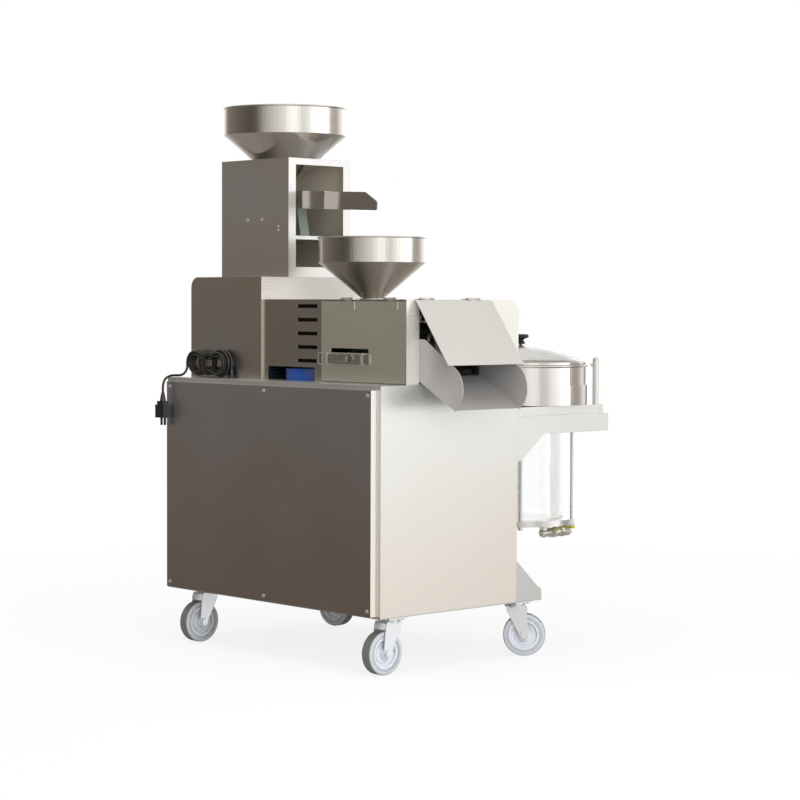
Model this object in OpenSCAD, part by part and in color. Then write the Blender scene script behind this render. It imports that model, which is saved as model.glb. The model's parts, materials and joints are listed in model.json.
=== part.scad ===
// Screw oil press on casters: vibrating feeder, heated press and vacuum filter.
// X runs along the cabinet towards the cake outlet, +Y faces the operator, Z is up.

/* [Cabinet] */
// Length of the cabinet
cab_l = 780; // [740:5:840]
// Depth of the cabinet
cab_w = 434; // [420:2:470]
// Height of the cabinet above the casters
cab_h = 520; // [480:5:580]
// Thickness of the folded steel sheet
sheet = 1.5; // [1.2:0.1:2]
// Thickness of the floor pan
base_t = 2; // [1.5:0.5:3]
// Width of the flange round the rear opening
flange_w = 36; // [34:1:44]
// Side margin of the rear panel
panel_side = 16; // [12:1:20]
// Top margin of the rear panel
panel_top = 10; // [8:1:14]
// Bottom margin of the rear panel
panel_bottom = 5; // [4:1:8]
// Height of the rear panel's tray edge
panel_proud = 15; // [10:1:20]
// Screws from the edges of the rear panel
panel_screw_in = 12; // [9:1:14]
// Radius of a cover screw's head
screw_head_r = 5; // [4:0.5:6]

/* [Front foot] */
// Reach of the front foot beyond the cabinet
foot_out = 87; // [80:1:100]
// Height of the foot's side plates at the cabinet
foot_back_h = 101; // [90:1:120]
// Height of the foot's side plates at the front
foot_front_h = 32; // [28:1:40]
// Corner radius of the foot's side plates
foot_r = 12; // [6:1:16]

/* [Casters] */
// Height from the floor to the caster's top plate
caster_h = 130; // [126:1:140]
// Diameter of the wheels
wheel_d = 100; // [90:1:104]
// Width of the wheels
wheel_w = 30; // [24:1:34]
// Diameter of the hub inside the tyre
hub_d = 74; // [64:1:80]
// Offset of the axle behind the swivel
caster_trail = 22; // [16:1:28]
// Radius of the axle
axle_r = 5; // [4:0.5:6]
// Swivel from the right end
caster_right = 32; // [30:1:45]
// Swivel from the left end
caster_left = 81; // [60:1:110]
// Rear swivel from the rear face
caster_rear = 57; // [45:1:70]
// Front swivel beyond the front face
caster_front = 29; // [20:1:40]

/* [Housings] */
// Ledge behind the upper housing
ledge = 77; // [70:1:90]
// How far the control box stands proud of the press housing
box_proud = 5; // [3:1:8]
// Length of the control box
box_l = 274; // [266:1:290]
// Height of the control box
box_h = 246; // [236:1:270]
// Radius of the control box's upper left corner
box_r = 26; // [16:1:40]
// Height of the press housing
press_h = 192; // [186:1:210]
// Radius of the press housing's upper front edge
press_r = 30; // [20:1:40]
// Length of the vent slots
vent_l = 71; // [50:1:80]
// Height of the vent slots
vent_h = 9; // [6:0.5:12]
// Pitch of the vent slots
vent_pitch = 32; // [26:0.5:33]

/* [Service door] */
// Left edge of the door from the right end
door_l = 288; // [280:1:296]
// Gap round the door
door_gap = 1; // [0.8:0.1:2]
// Depth of the door's folded edges
door_fold = 10; // [8:1:14]
// Width of the hinges
hinge_w = 42; // [36:1:50]
// Length of a hinge leaf
leaf_l = 19; // [16:1:22]
// Height of the latch bar
latch_h = 22; // [18:1:26]
// Travel of the latch bar
latch_travel = 25; // [20:1:28]

/* [Cake outlet] */
// Distance of the outlet's near wall from the press axis
chute_near = 104; // [96:1:110]
// Distance of the outlet's far wall from the press axis
chute_far = 101; // [96:1:110]
// Radius of the nose of the outlet's walls
nose_r = 59; // [50:1:64]
// Reach of the nose's centre
nose_out = 82; // [76:1:90]
// Reach of the outlet's lip
lip_out = 119; // [110:1:124]
// Length of the flap
flap_l = 182; // [170:1:186]
// Width of the flap
flap_w = 241; // [225:1:246]
// Angle at which the flap hangs
flap_angle = 36; // [35:0.5:44]

/* [Press] */
// Distance of the press axis in front of the cabinet's middle
axis_y = 4; // [0:1:10]
// Height of the press axis above the deck
axis_h = 94; // [90:1:98]
// Distance of the feed throat from the right end
throat_in = 271; // [264:1:280]
// Outer radius of the barrel
barrel_r = 45; // [42:1:48]
// Radius of the barrel's bore
bore_r = 28.5; // [26:0.5:31]
// Clearance of the worm in its bore
worm_gap = 0.6; // [0.4:0.1:1]
// Pitch of the worm's flights
worm_pitch = 38; // [30:1:44]
// Radius of the screw's shaft
shaft_r = 13; // [11:0.5:14]
// Running clearance of shafts and pins
run_gap = 0.06; // [0.04:0.01:0.1]

/* [Drive] */
// Radius of the motor's flange
flange_r = 75; // [70:1:80]
// Radius of the motor's body
motor_r = 57; // [50:1:62]
// Length of the motor below the deck
motor_l = 235; // [200:5:280]
// Distance between the worm gear's two axes
gear_offset = 63; // [58:1:66]

/* [Feeder tower] */
// Depth of the tower
tower_w = 197; // [190:1:205]
// Height of the tower
tower_h = 289; // [280:1:300]
// Setback of the tower from the control box's left end
tower_in = 15; // [8:1:20]
// Distance of the tower's middle from the cabinet's middle
tower_y = 38.5; // [30:0.5:46]
// Width of the frame round the tower's opening
frame_w = 23; // [18:1:28]
// Height of the feeder base above the tower's foot
feeder_up = 92; // [86:1:98]
// Width of the trough inside the tower
trough_w = 130; // [110:1:136]
// Width of the trough's spout
spout_w = 84; // [70:1:92]
// Height of the trough's sides
trough_h = 43; // [38:1:46]
// Reach of the trough's wide part out of the tower
trough_out = 92; // [80:1:100]
// Reach of the spout out of the tower
spout_out = 254; // [236:1:258]
// Fall of the trough
trough_fall = 2.6; // [2:0.1:3.4]
// Height of the trough's floor above the feeder base at the tower's face
trough_up = 66; // [62:1:70]

/* [Hoppers] */
// Radius of the feed hopper's rim
feed_r = 158; // [145:1:165]
// Height of the feed hopper's straight wall
feed_wall = 68; // [50:1:80]
// Height of the feed hopper's rim above the tower
feed_up = 129; // [120:1:140]
// Radius of the feed hopper's outlet
feed_out_r = 24; // [18:1:30]
// Radius of the press hopper's rim
hop_r = 132; // [120:1:138]
// Height of the press hopper's straight wall
hop_wall = 60; // [45:1:66]
// Height of the press hopper's rim above the housing
hop_up = 147; // [140:1:150]
// Radius of the press hopper's neck
neck_r = 26; // [22:0.5:27]
// Length of the neck below the housing's top
neck_l = 40; // [34:1:44]
// Radius of the rolled rims
roll_r = 2; // [1.6:0.2:2.6]

/* [Filter] */
// Distance of the filter's middle from the right end
filter_in = 160; // [158:1:180]
// Gap between the filter pan and the cabinet
filter_gap = 7; // [7:1:20]
// Radius of the pan's lower band
pan_r = 168; // [160:1:172]
// Height of the pan above its ring
pan_h = 94; // [85:1:100]
// Height of the ring under the pan
ring_h = 22; // [18:1:26]
// Height of the shelf's top above the floor
shelf_z = 568; // [562:1:574]
// Height of the shelf's side plates
shelf_h = 43; // [36:1:50]
// Depth of the shelf
shelf_l = 324; // [310:1:334]
// Height of the lid's dome
dome_h = 44; // [36:1:50]
// Radius of the lid's knob
knob_r = 20; // [16:1:23]
// Radius of the collector tube
tube_r = 107; // [95:1:112]
// Wall of the collector tube
tube_t = 5; // [4:0.5:8]
// Height of the collector's bottom plate above the floor
tank_z = 298; // [290:1:305]
// Distance of the tie rods from the collector's axis
rod_ring = 127; // [124:1:130]
// Radius of the tie rods
rod_r = 4; // [3:0.5:5]

/* [Controls] */
// Width of the control panel
ctl_w = 190; // [180:1:220]
// Height of the control panel
ctl_h = 150; // [140:1:180]
// Radius of the push buttons
button_r = 12; // [10:0.5:14]
// Travel of the push buttons
button_travel = 4; // [3:0.5:5]
// Radius of the turning knobs
dial_r = 17; // [14:0.5:19]

/* [Cord] */
// Diameter of the mains cord
cord_d = 6; // [5:0.1:6.2]
// Loops in each layer of the hank
hank_loops = 2; // [1:1:2]
// Straight run of the hank
hank_run = 90; // [80:1:95]
// Draw of the hank at its waist
waist = 9; // [4:1:10]

/* [Hidden] */
$fn = 64;

// Main planes of the cabinet
x0 = -cab_l / 2;
x1 = cab_l / 2;
y0 = -cab_w / 2;
y1 = cab_w / 2;
base_z = caster_h;
deck_z = base_z + cab_h;
// Clearance between bodies, and the reach of a cut past its piece
gap = 0.4;
cut = 1;

// Rear panel
panel_y = y0 - panel_proud;
panel_l = cab_l - 2 * panel_side;
panel_z = base_z + panel_bottom;
panel_hz = cab_h - panel_top - panel_bottom;
panel_xs = [-panel_l / 2 + panel_screw_in, 0, panel_l / 2 - panel_screw_in];
panel_zs = [panel_z + panel_screw_in, panel_z + panel_hz - panel_screw_in];
screw_r = 2.4;
screw_head_h = 2.5;
screw_grip = 6;
screw_hole = screw_r + 0.1;

// Casters: place of the swivel and heading of the trailing wheel
caster_rr = [x1 - caster_right, y0 + caster_rear, -90];
caster_rl = [x0 + caster_left, y0 + caster_rear, -90];
caster_fr = [x1 - caster_right, y1 + caster_front, 43];
caster_fl = [x0 + caster_left, y1 + caster_front, 8];
wheel_r = wheel_d / 2;
hub_r = hub_d / 2;
race_r = 24;
race_h = 6;
plate_t = 3;
plate_size = [60, 56];
plate_bolt = [46, 40];
crown_t = 4;
crown_z = caster_h - plate_t - race_h - gap - crown_t;
leg_t = 2.5;
leg_gap = 2.5;
king_r = 6;
boss_gap = 0.5;
axle_end = wheel_w / 2 + leg_gap + leg_t;

// Housings on the deck
end_in = 1;
hx0 = x0 + end_in;
hx1 = x1 - end_in;
hy0 = y0 + ledge;
hy1 = y1 + 3;
box_x1 = hx0 + box_l;
box_y0 = hy0 - box_proud;
box_z1 = deck_z + box_h;
press_z1 = deck_z + press_h;
vent_x = hx1 - 375;
vent_z = deck_z + 48;
vent_n = 5;
peep_x = hx1 - 484;
peep_l = 171;
peep_h = 33;

// Service door and its latch
door_x0 = hx1 - door_l;
door_x1 = hx1 - sheet - door_gap;
door_z0 = deck_z + sheet + door_gap;
door_z1 = press_z1 - sheet - 2.5;
door_y = hy0 - gap;
knuckle_r = 3;
pin_r = 1.5;
leaf_t = 1.5;
hinge_y = hy0 - knuckle_r - 0.5;
hinge_z = press_z1 + leaf_t;
hinge_xs = [hx1 - 194, hx1 - 49];
latch_z = deck_z + 44;
latch_x0 = door_x0 + 12;
latch_l = 156;
latch_t = 3;
latch_y = door_y - gap - latch_t;
strap_t = 1.5;
strap_l = 6;
strap_foot = 2;
keeper_x = door_x0 - door_gap - strap_l - 4;
keeper_room = 1;
strap_xs = [latch_x0 + 5, latch_x0 + 128];
slot_x = door_x0 + 33;
slot_l = 130;
slot_h = 10;
slot_z = latch_z + latch_h + gap + strap_foot + 1;
grip_x = latch_x0 + 68;

// Cake outlet: small corner circle, nose circle and the line that touches both
axis_z = deck_z + axis_h;
chute_y0 = axis_y - chute_near;
chute_y1 = axis_y + chute_far;
chute_back = 14;
corner_r = 12;
corner_c = [14, deck_z + 91];
nose_c = [nose_out, deck_z - 8];
nose_d = norm(nose_c - corner_c);
nose_e = (nose_c - corner_c) / nose_d;
nose_k = (corner_r - nose_r) / nose_d;
nose_n = nose_k * nose_e + sqrt(1 - nose_k * nose_k) * [-nose_e[1], nose_e[0]];
chute_z = deck_z + 10;
chute_drop = 28.5;
hem = 2;
lip_z = chute_z - lip_out * tan(chute_drop);
lip_len = (lip_out + chute_back) / cos(chute_drop);
flap_x = hx1 + knuckle_r + 0.5;
flap_z = hinge_z;
flap_y = axis_y;
flap_hinges = [flap_y - 0.35 * flap_w, flap_y + 0.26 * flap_w];
flap_clear = knuckle_r + 0.8;

// Press
throat_x = x1 - throat_in;
barrel_x0 = throat_x - 44;
barrel_x1 = hx1 - 44;
throat_r = neck_r + 10;
throat_top = press_z1 - sheet - 3;
heater_x = throat_x + 92;
heater_l = 80;
heater_t = 5;
oil_x = throat_x + 40;
oil_slots = 5;
oil_pitch = 9;
oil_slot_w = 4;
worm_x0 = barrel_x0 + 4;
worm_x1 = barrel_x1 + 12;
worm_r = bore_r - worm_gap;
worm_root = shaft_r + 4;
worm_root_end = worm_r - 5;
worm_sides = 24;
worm_steps = 12;
nut_r = barrel_r - 3;
nut_l = 30;
foot_l = 22;
tray_x0 = throat_x + 26;
tray_l = 72;
tray_z = deck_z + 20;
pipe_r = 9;
pipe_z = tray_z - 6;

// Drive: worm gear above its flange motor, which hangs through the deck
gear_x = barrel_x0 - 84;
gear_l = 92;
gear_r = 58;
motor_y = axis_y - gear_offset;
motor_flange_t = 14;
gear_flange_t = 14;
fin_n = 24;
fin_h = 5;
fin_t = 2.4;
motor_hole = motor_r + fin_h + 2;

// Tower and feeder
tower_x0 = hx0 + tower_in;
tower_x1 = box_x1;
tower_y0 = tower_y - tower_w / 2;
tower_y1 = tower_y + tower_w / 2;
tower_z0 = box_z1;
tower_z1 = tower_z0 + tower_h;
tower_x = (tower_x0 + tower_x1) / 2;
feeder_z = tower_z0 + feeder_up;
feeder_t = 9;
trough_t = 2;
trough_back = tower_x1 - tower_x0 - 20;
trough_z = feeder_z + feeder_t + trough_up;
spring_t = 2.5;
spring_w = 28;
spring_front = 112;
spring_back = 37;
spring_xs = [tower_x1 - spring_front, tower_x0 + spring_back];
coil_x = (spring_xs[0] + spring_xs[1]) / 2 - 4;
spout_slant = 1.07 * spout_w;
spout_bevel = [44, 22];
spring_ys = [-trough_w / 2 + spring_w / 2 + 2, trough_w / 2 - spring_w / 2 - 2];
spring_lean = 12;
tower_big = [[tower_x - 28, 48], [tower_x + 27, 48]];
tower_small = [[tower_x + 91, 31], [tower_x + 91, 22]];

// Hoppers: both cones have the same slope, and their walls stand inside their rolled rims
cone_k = 1.22;
roll_in = 2 * roll_r - sheet;
feed_z1 = tower_z1 + feed_up;
feed_z0 = feed_z1 - feed_wall;
feed_hole = feed_r - roll_in - cone_k * (feed_z0 - tower_z1) + gap;
feed_drop = 20;
hop_z1 = press_z1 + hop_up;
hop_z0 = hop_z1 - hop_wall;
collar_r = neck_r + 16;
collar_t = 2;

// Filter
filter_x = x1 - filter_in;
filter_y = y1 + filter_gap + pan_r;
shelf_w = 2 * (filter_in - 5);
shelf_x0 = filter_x - shelf_w / 2;
shelf_x1 = filter_x + shelf_w / 2;
shelf_t = 2;
gusset_out = 96;
gusset_down = 61;
pan_z0 = shelf_z;
pan_z1 = pan_z0 + ring_h + pan_h;
pan_t = 2;
pan_step = 3;
pan_roll = 3;
band_h = 48;
skirt_in = 3;
skirt_end = 16;
skirt_h = ring_h - gap;
ring_r = shelf_w / 2 - skirt_in - sheet - 4;
screen_z = pan_z0 + ring_h + 34;
screen_t = 2;
drain_r = 14;
lid_r = pan_r - pan_step - 4;
rim_h = 6;
rim_w = 7;
glass_t = 4;
lid_z = pan_z1 + pan_roll + 0.3;
dome_r = (pow(lid_r - rim_w / 2, 2) + dome_h * dome_h) / (2 * dome_h);
knob_h = 24;
post_r = 7.5;
post_h = 136;
post_x = shelf_x1 - post_r - 1;
post_y = filter_y + 112;
tank_t = 14;
tank_r = rod_ring + 11;
nut_h = 7;
rod_top = shelf_z + 14;
valve_x = filter_x + 32;
valve_y = filter_y + 52;
valve_z = tank_z - 28;
valve_r = 12;
valve_l = 92;
ball_y = valve_y + 44;
lever_l = 58;
lever_z = valve_z + valve_r + 2;

// Controls on the front of the control box
ctl_x = (hx0 + box_x1) / 2;
ctl_z = deck_z + 122;
ctl_t = 3;
ctl_y = hy1 + ctl_t;
selector_at = [ctl_x - 52, ctl_z - 6];
speed_at = [ctl_x + 52, ctl_z - 6];
start_at = [ctl_x - 24, ctl_z - 50];
stop_at = [ctl_x + 24, ctl_z - 50];
meter_at = [ctl_x, ctl_z + 40];
meter_size = [52, 44];
spindle_r = 3;
dial_h = 18;
button_h = 9;

// Vacuum pump inside the cabinet, with its line to the filter's ring
pump_x = filter_x;
pump_y = 40;
pump_r = 46;
pump_l = 150;
line_r = 8;
line_z = shelf_z + ring_h / 2;
line_y = pump_y + 70;

// Cord: the hank stands on the ledge against the control box, its first run rising from the gland
cord_r = cord_d / 2;
hank_layers = 4;
hank_turns = hank_loops * hank_layers;
hank_pitch = cord_d + 1;
layer_pitch = cord_d + 0.6;
fold_r = 3 * cord_d;
hank_r = fold_r + hank_loops * hank_pitch;
hank_x = hx0 + 94;
hank_z = deck_z + hank_r + cord_r + 0.3;
gland_r = cord_r + 5;
hank_y = box_y0 - gland_r - gap;
loop_rings = 24;
loop_sides = 6;
gland_x = hank_x + hank_run / 2 + hank_r;
gland_h = 22;
lead_z = deck_z + gland_h;
tail_x = hank_x - hank_run / 2 - hank_radius(hank_turns - 0.5);
tail_y = hank_y - (hank_layers - 1) * layer_pitch;
lead_pts = [for (z = [lead_z, lead_z + 4, hank_z - cord_d]) [gland_x, hank_y, z]];
tail_off = [[0, 0, -6], [0, 0, -10], [0, -2, -17], [0, -7, -24], [0, -14, -29], [0, -23, -31], [0, -34, -31],
    [0, -42, -31], [0, -52, -32], [0, -61, -35], [0, -69, -41], [0, -73, -49], [0, -75, -58], [0, -75, -66],
    [0, -75, -72]];
tail_pts = [for (p = tail_off) [tail_x, tail_y, hank_z] + p];
plug_at = tail_pts[len(tail_pts) - 1];
plug_w = 34;
plug_t = 22;
plug_h = 40;
relief_h = 22;

// The part's own origin: the middle of the floor under the whole object
reach_x0 = min(x0, tower_x - feed_r);
reach_x1 = hx1 + nose_out + nose_r;
reach_y0 = panel_y - screw_head_h;
reach_y1 = filter_y + max(pan_r, pan_r - pan_step - pan_t + 2 * pan_roll);
origin = [(reach_x0 + reach_x1) / 2, (reach_y0 + reach_y1) / 2, 0];

steel = "silver";
bright = "gainsboro";
blue = "royalblue";
black = "dimgray";

module place() {
    translate(-origin) children();
}

// Points from a to b as a box
module span(a, b) {
    translate(a) cube(b - a);
}

// Cylinder along X or along Y
module rod_x(r, l) {
    rotate([0, 90, 0]) cylinder(r = r, h = l);
}

module rod_y(r, l) {
    rotate([-90, 0, 0]) cylinder(r = r, h = l);
}

// Outline in Y and Z carried along X
module along_x(l) {
    rotate([90, 0, 90]) linear_extrude(l) children();
}

// Outline in X and Z carried along Y
module along_y(l) {
    translate([0, l, 0]) rotate([90, 0, 0]) linear_extrude(l) children();
}

// Upright hex nut or bolt head
module hex(r, h) {
    cylinder(r = r, h = h, $fn = 6);
}

module panel_screw_holes(y, depth) {
    for (x = panel_xs, z = panel_zs) translate([x, y, z]) rod_y(screw_hole, depth);
}

module cabinet_shell() {
    color(steel) difference() {
        span([x0, y0, base_z + base_t], [x1, y1, deck_z]);
        span([x0 + sheet, y0 + sheet, base_z + base_t - cut], [x1 - sheet, y1 - sheet, deck_z - sheet]);
        span([x0 + flange_w, y0 - cut, base_z + flange_w],
            [x1 - flange_w, y0 + sheet + cut, deck_z - flange_w]);
        translate([gear_x, motor_y, deck_z - sheet - cut]) cylinder(r = motor_hole, h = sheet + 2 * cut);
        translate([gland_x, hank_y, deck_z - sheet - cut]) cylinder(r = cord_r + 2, h = sheet + 2 * cut);
        translate([pump_x, y1 - sheet - cut, line_z]) rod_y(line_r + gap, sheet + 2 * cut);
        panel_screw_holes(y0 - cut, sheet + 2 * cut);
    }
}

// Slanted side plate of the front foot, in Y and Z
module foot_outline() {
    h = foot_front_h;
    difference() {
        union() {
            polygon([[0, base_t], [foot_out, base_t], [foot_out, h - foot_r], [foot_out - foot_r, h],
                [0, foot_back_h]]);
            translate([foot_out - foot_r, h - foot_r]) circle(foot_r);
        }
        translate([0, -foot_back_h + base_t]) square([2 * foot_out, foot_back_h]);
    }
}

module cabinet_base() {
    color(steel) union() {
        span([x0, y0, base_z], [x1, y1 + foot_out, base_z + base_t]);
        for (x = [x0 + sheet, x1 - sheet - base_t]) translate([x, y1, base_z]) along_x(base_t) foot_outline();
        span([x0 + sheet, y1 + foot_out - base_t, base_z],
            [x1 - sheet, y1 + foot_out, base_z + foot_front_h - foot_r]);
    }
}

module rear_panel() {
    color(steel) difference() {
        translate([-panel_l / 2, panel_y, panel_z]) cube([panel_l, panel_proud, panel_hz]);
        translate([-panel_l / 2 + sheet, panel_y + sheet, panel_z + sheet])
            cube([panel_l - 2 * sheet, panel_proud, panel_hz - 2 * sheet]);
        panel_screw_holes(panel_y - cut, sheet + 2 * cut);
    }
}

// Pan-head screw that points along +Y, its head's seat at the origin
module cover_screw(grip, head = screw_head_r, r = screw_r) {
    translate([0, -screw_head_h, 0]) rotate([-90, 0, 0]) cylinder(r1 = head - 1.5, r2 = head, h = screw_head_h);
    rod_y(r, grip);
}

module cover_screws() {
    color(bright) {
        for (x = panel_xs, z = panel_zs)
            translate([x, panel_y, z]) cover_screw(panel_proud + sheet + screw_grip);
        for (p = tower_big) translate([p[0], tower_y0, feeder_z + p[1]]) cover_screw(screw_grip);
        for (p = tower_small)
            translate([p[0], tower_y0, feeder_z + p[1]])
                cover_screw(screw_grip, screw_head_r - 1.5, screw_r - 0.8);
    }
}

module at_caster(c) {
    translate([c[0], c[1], 0]) rotate([0, 0, c[2]]) children();
}

module caster_plates() {
    color(bright) for (c = [caster_rr, caster_rl, caster_fr, caster_fl]) translate([c[0], c[1], 0]) {
        translate([-plate_size[0] / 2, -plate_size[1] / 2, caster_h - plate_t])
            cube(concat(plate_size, plate_t));
        for (sx = [-1, 1], sy = [-1, 1])
            translate([sx * plate_bolt[0] / 2, sy * plate_bolt[1] / 2, caster_h - plate_t - 4]) hex(5, 5);
        translate([0, 0, caster_h - plate_t - race_h]) cylinder(r = race_r, h = race_h);
        translate([0, 0, crown_z - 1]) cylinder(r = king_r, h = crown_t + gap + 1);
        translate([0, 0, crown_z - gap - 3]) cylinder(r1 = king_r + 1, r2 = king_r + 4, h = 3);
    }
}

// One leg of the fork, in the plane of the wheel
module leg_outline() {
    eye = axle_r + 6;
    polygon([[-race_r + 4, crown_z + crown_t], [race_r, crown_z + crown_t], [race_r + 4, crown_z - 6],
        [caster_trail + eye, wheel_r], [caster_trail - eye, wheel_r], [-race_r + 4, crown_z - 8]]);
    translate([caster_trail, wheel_r]) circle(eye);
}

// Fork with its axle bolt; the wheel trails along +X
module caster_fork(c) {
    color(bright) at_caster(c) {
        difference() {
            union() {
                span([-race_r + 4, -axle_end, crown_z], [race_r, axle_end, crown_z + crown_t]);
                translate([0, 0, crown_z]) cylinder(r = race_r + 1, h = crown_t);
                for (y = [-axle_end, axle_end - leg_t]) translate([0, y, 0]) along_y(leg_t) leg_outline();
            }
            translate([0, 0, crown_z - cut]) cylinder(r = king_r + run_gap, h = crown_t + 2 * cut);
            translate([caster_trail, -axle_end - cut, wheel_r]) rod_y(axle_r, 2 * axle_end + 2 * cut);
        }
        translate([caster_trail, -axle_end - 4, wheel_r]) rod_y(axle_r, 2 * axle_end + 8);
        translate([caster_trail, -axle_end - 5, wheel_r]) rotate([-90, 0, 0]) hex(axle_r + 4, 5);
        translate([caster_trail, axle_end, wheel_r]) rotate([-90, 0, 0]) hex(axle_r + 4, 5);
    }
}

// Revolves a wheel profile, drawn as radius and half width, about the axle
module about_axle() {
    translate([caster_trail, 0, wheel_r]) rotate([90, 0, 0]) rotate_extrude($fn = 96) children();
}

module wheel_hub(c) {
    boss = wheel_w / 2 + leg_gap - boss_gap;
    color("lightgray") at_caster(c) about_axle() {
        difference() {
            union() {
                translate([hub_r - 6, -wheel_w / 2 + 2]) square([6, wheel_w - 4]);
                translate([axle_r + 1, -4]) square([hub_r - axle_r - 4, 8]);
                translate([hub_r * 0.55, -7]) square([3, 14]);
                translate([0, -boss]) square([axle_r + 7, 2 * boss]);
            }
            translate([-cut, -wheel_w]) square([axle_r + run_gap + cut, 2 * wheel_w]);
        }
    }
}

module wheel_tyre(c) {
    shoulder = 5;
    color("darkgray") at_caster(c) about_axle() difference() {
        union() {
            translate([hub_r, -wheel_w / 2]) square([wheel_r - hub_r - shoulder, wheel_w]);
            translate([hub_r, -wheel_w / 2 + shoulder]) square([wheel_r - hub_r, wheel_w - 2 * shoulder]);
            for (s = [-1, 1]) translate([wheel_r - shoulder, s * (wheel_w / 2 - shoulder)]) circle(shoulder);
        }
        for (s = [-1, 1]) translate([hub_r + 3, s * wheel_w / 2]) circle(1.2);
    }
}

// Outline of the control box in X and Z, drawn in by a wall
module box_outline(t) {
    r = box_r - t;
    translate([hx0 + t, deck_z - t]) square([box_l - 2 * t, box_h - r]);
    translate([hx0 + t + r, deck_z - t]) square([box_l - 2 * t - r, box_h]);
    translate([hx0 + box_r, box_z1 - box_r]) circle(r);
}

module control_box() {
    depth = hy1 - box_y0;
    color(steel) difference() {
        translate([0, box_y0, 0]) along_y(depth) intersection() {
            box_outline(0);
            translate([hx0, deck_z]) square([box_l, box_h]);
        }
        translate([0, box_y0 + sheet, 0]) along_y(depth - 2 * sheet) box_outline(sheet);
        for (p = [selector_at, speed_at])
            translate([p[0], hy1 - sheet - cut, p[1]]) rod_y(spindle_r + 2, sheet + 2 * cut);
        for (p = [start_at, stop_at])
            translate([p[0], hy1 - sheet - cut, p[1]]) rod_y(button_r + 1, sheet + 2 * cut);
    }
}

// Outline of the press housing in Y and Z, drawn in by a wall
module press_outline(t) {
    r = press_r - t;
    translate([hy0 + t, deck_z - t]) square([hy1 - hy0 - 2 * t, press_h - press_r + t]);
    translate([hy0 + t, deck_z - t]) square([hy1 - hy0 - t - press_r, press_h]);
    translate([hy1 - press_r, press_z1 - press_r]) circle(r);
}

module press_housing() {
    mouth_z = press_z1 - 6;
    color(steel) difference() {
        translate([box_x1, 0, 0]) along_x(hx1 - box_x1) intersection() {
            press_outline(0);
            translate([hy0, deck_z]) square([hy1 - hy0, press_h]);
        }
        translate([box_x1 - cut, 0, 0]) along_x(hx1 - box_x1 - sheet + cut) press_outline(sheet);
        span([door_x0 - door_gap, hy0 - cut, deck_z + sheet],
            [hx1 - sheet, hy0 + sheet + cut, door_z1 + door_gap]);
        for (i = [0:vent_n - 1]) span([vent_x, hy0 - cut, vent_z + i * vent_pitch - vent_h / 2],
            [vent_x + vent_l, hy0 + sheet + cut, vent_z + i * vent_pitch + vent_h / 2]);
        span([peep_x, hy0 - cut, deck_z - cut], [peep_x + peep_l, hy0 + sheet + cut, deck_z + peep_h]);
        span([hx1 - sheet - cut, chute_y0, deck_z + sheet], [hx1 + cut, chute_y1, mouth_z]);
        translate([throat_x, axis_y, press_z1 - sheet - cut]) cylinder(r = neck_r + 2, h = sheet + 2 * cut);
        translate([filter_x, hy1 - sheet - cut, pipe_z]) rod_y(pipe_r + gap, sheet + 2 * cut);
    }
}

// Bridge over the latch bar, on the face behind it
module latch_strap(x, room) {
    top = latch_z + latch_h + room;
    out = latch_y - room - strap_t;
    difference() {
        span([x, out, latch_z - room - strap_foot], [x + strap_l, hy0, top + strap_foot]);
        span([x - cut, out + strap_t, latch_z - room], [x + strap_l + cut, hy0 + cut, top]);
    }
}

// Hinge along X: knuckles at both ends on one pin, with a leaf towards +Y
module fixed_hinge() {
    end = hinge_w / 4;
    for (x = [-hinge_w / 2, hinge_w / 2 - end]) translate([x, 0, 0]) {
        rod_x(knuckle_r, end);
        translate([0, 0, -leaf_t]) cube([end, leaf_l, leaf_t]);
    }
    translate([-hinge_w / 2, knuckle_r + 1, -leaf_t]) cube([hinge_w, leaf_l - knuckle_r - 1, leaf_t]);
    translate([-hinge_w / 2, 0, 0]) rod_x(pin_r, hinge_w);
}

// Middle knuckle of the hinge
module moving_knuckle() {
    l = hinge_w / 2 - 2 * gap;
    translate([-l / 2, 0, 0]) rod_x(knuckle_r, l);
}

module knuckle_bore() {
    translate([-hinge_w, 0, 0]) rod_x(pin_r + run_gap, 2 * hinge_w);
}

module hinge_leaves() {
    color(bright) {
        for (x = hinge_xs) translate([x, hinge_y, hinge_z]) fixed_hinge();
        for (y = flap_hinges) translate([flap_x, y, flap_z]) rotate([0, 0, 90]) fixed_hinge();
        latch_strap(keeper_x, keeper_room);
    }
}

module rear_door() {
    l = hinge_w / 2 - 2 * gap;
    color(steel) difference() {
        union() {
            difference() {
                span([door_x0, door_y, door_z0], [door_x1, door_y + door_fold, door_z1]);
                span([door_x0 + sheet, door_y + sheet, door_z0 + sheet],
                    [door_x1 - sheet, door_y + door_fold + cut, door_z1 + cut]);
            }
            for (x = hinge_xs) {
                translate([x, hinge_y, hinge_z]) moving_knuckle();
                span([x - l / 2, door_y - leaf_t, door_z1 - leaf_l], [x + l / 2, door_y, hinge_z]);
                span([x - hinge_w / 2, door_y - leaf_t, door_z1 - leaf_l],
                    [x + hinge_w / 2, door_y, door_z1 - 1]);
            }
            for (x = strap_xs) intersection() {
                latch_strap(x, gap);
                span([door_x0, door_y - 20, door_z0], [door_x1, door_y + sheet, door_z1]);
            }
        }
        span([slot_x, door_y - cut, slot_z], [slot_x + slot_l, door_y + sheet + cut, slot_z + slot_h]);
        for (x = hinge_xs) translate([x, hinge_y, hinge_z]) knuckle_bore();
    }
}

// Latch bar with its winged grip
module latch_bar() {
    mid = latch_z + latch_h / 2;
    boss_h = 12;
    wing_r = 9;
    color(bright) union() {
        span([latch_x0, latch_y, latch_z], [latch_x0 + latch_l, latch_y + latch_t, latch_z + latch_h]);
        translate([grip_x, latch_y - boss_h, mid]) rod_y(7, boss_h);
        for (s = [-1, 1]) translate([grip_x + s * 13, latch_y - boss_h, mid + 2]) rod_y(wing_r, 4);
    }
}

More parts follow.
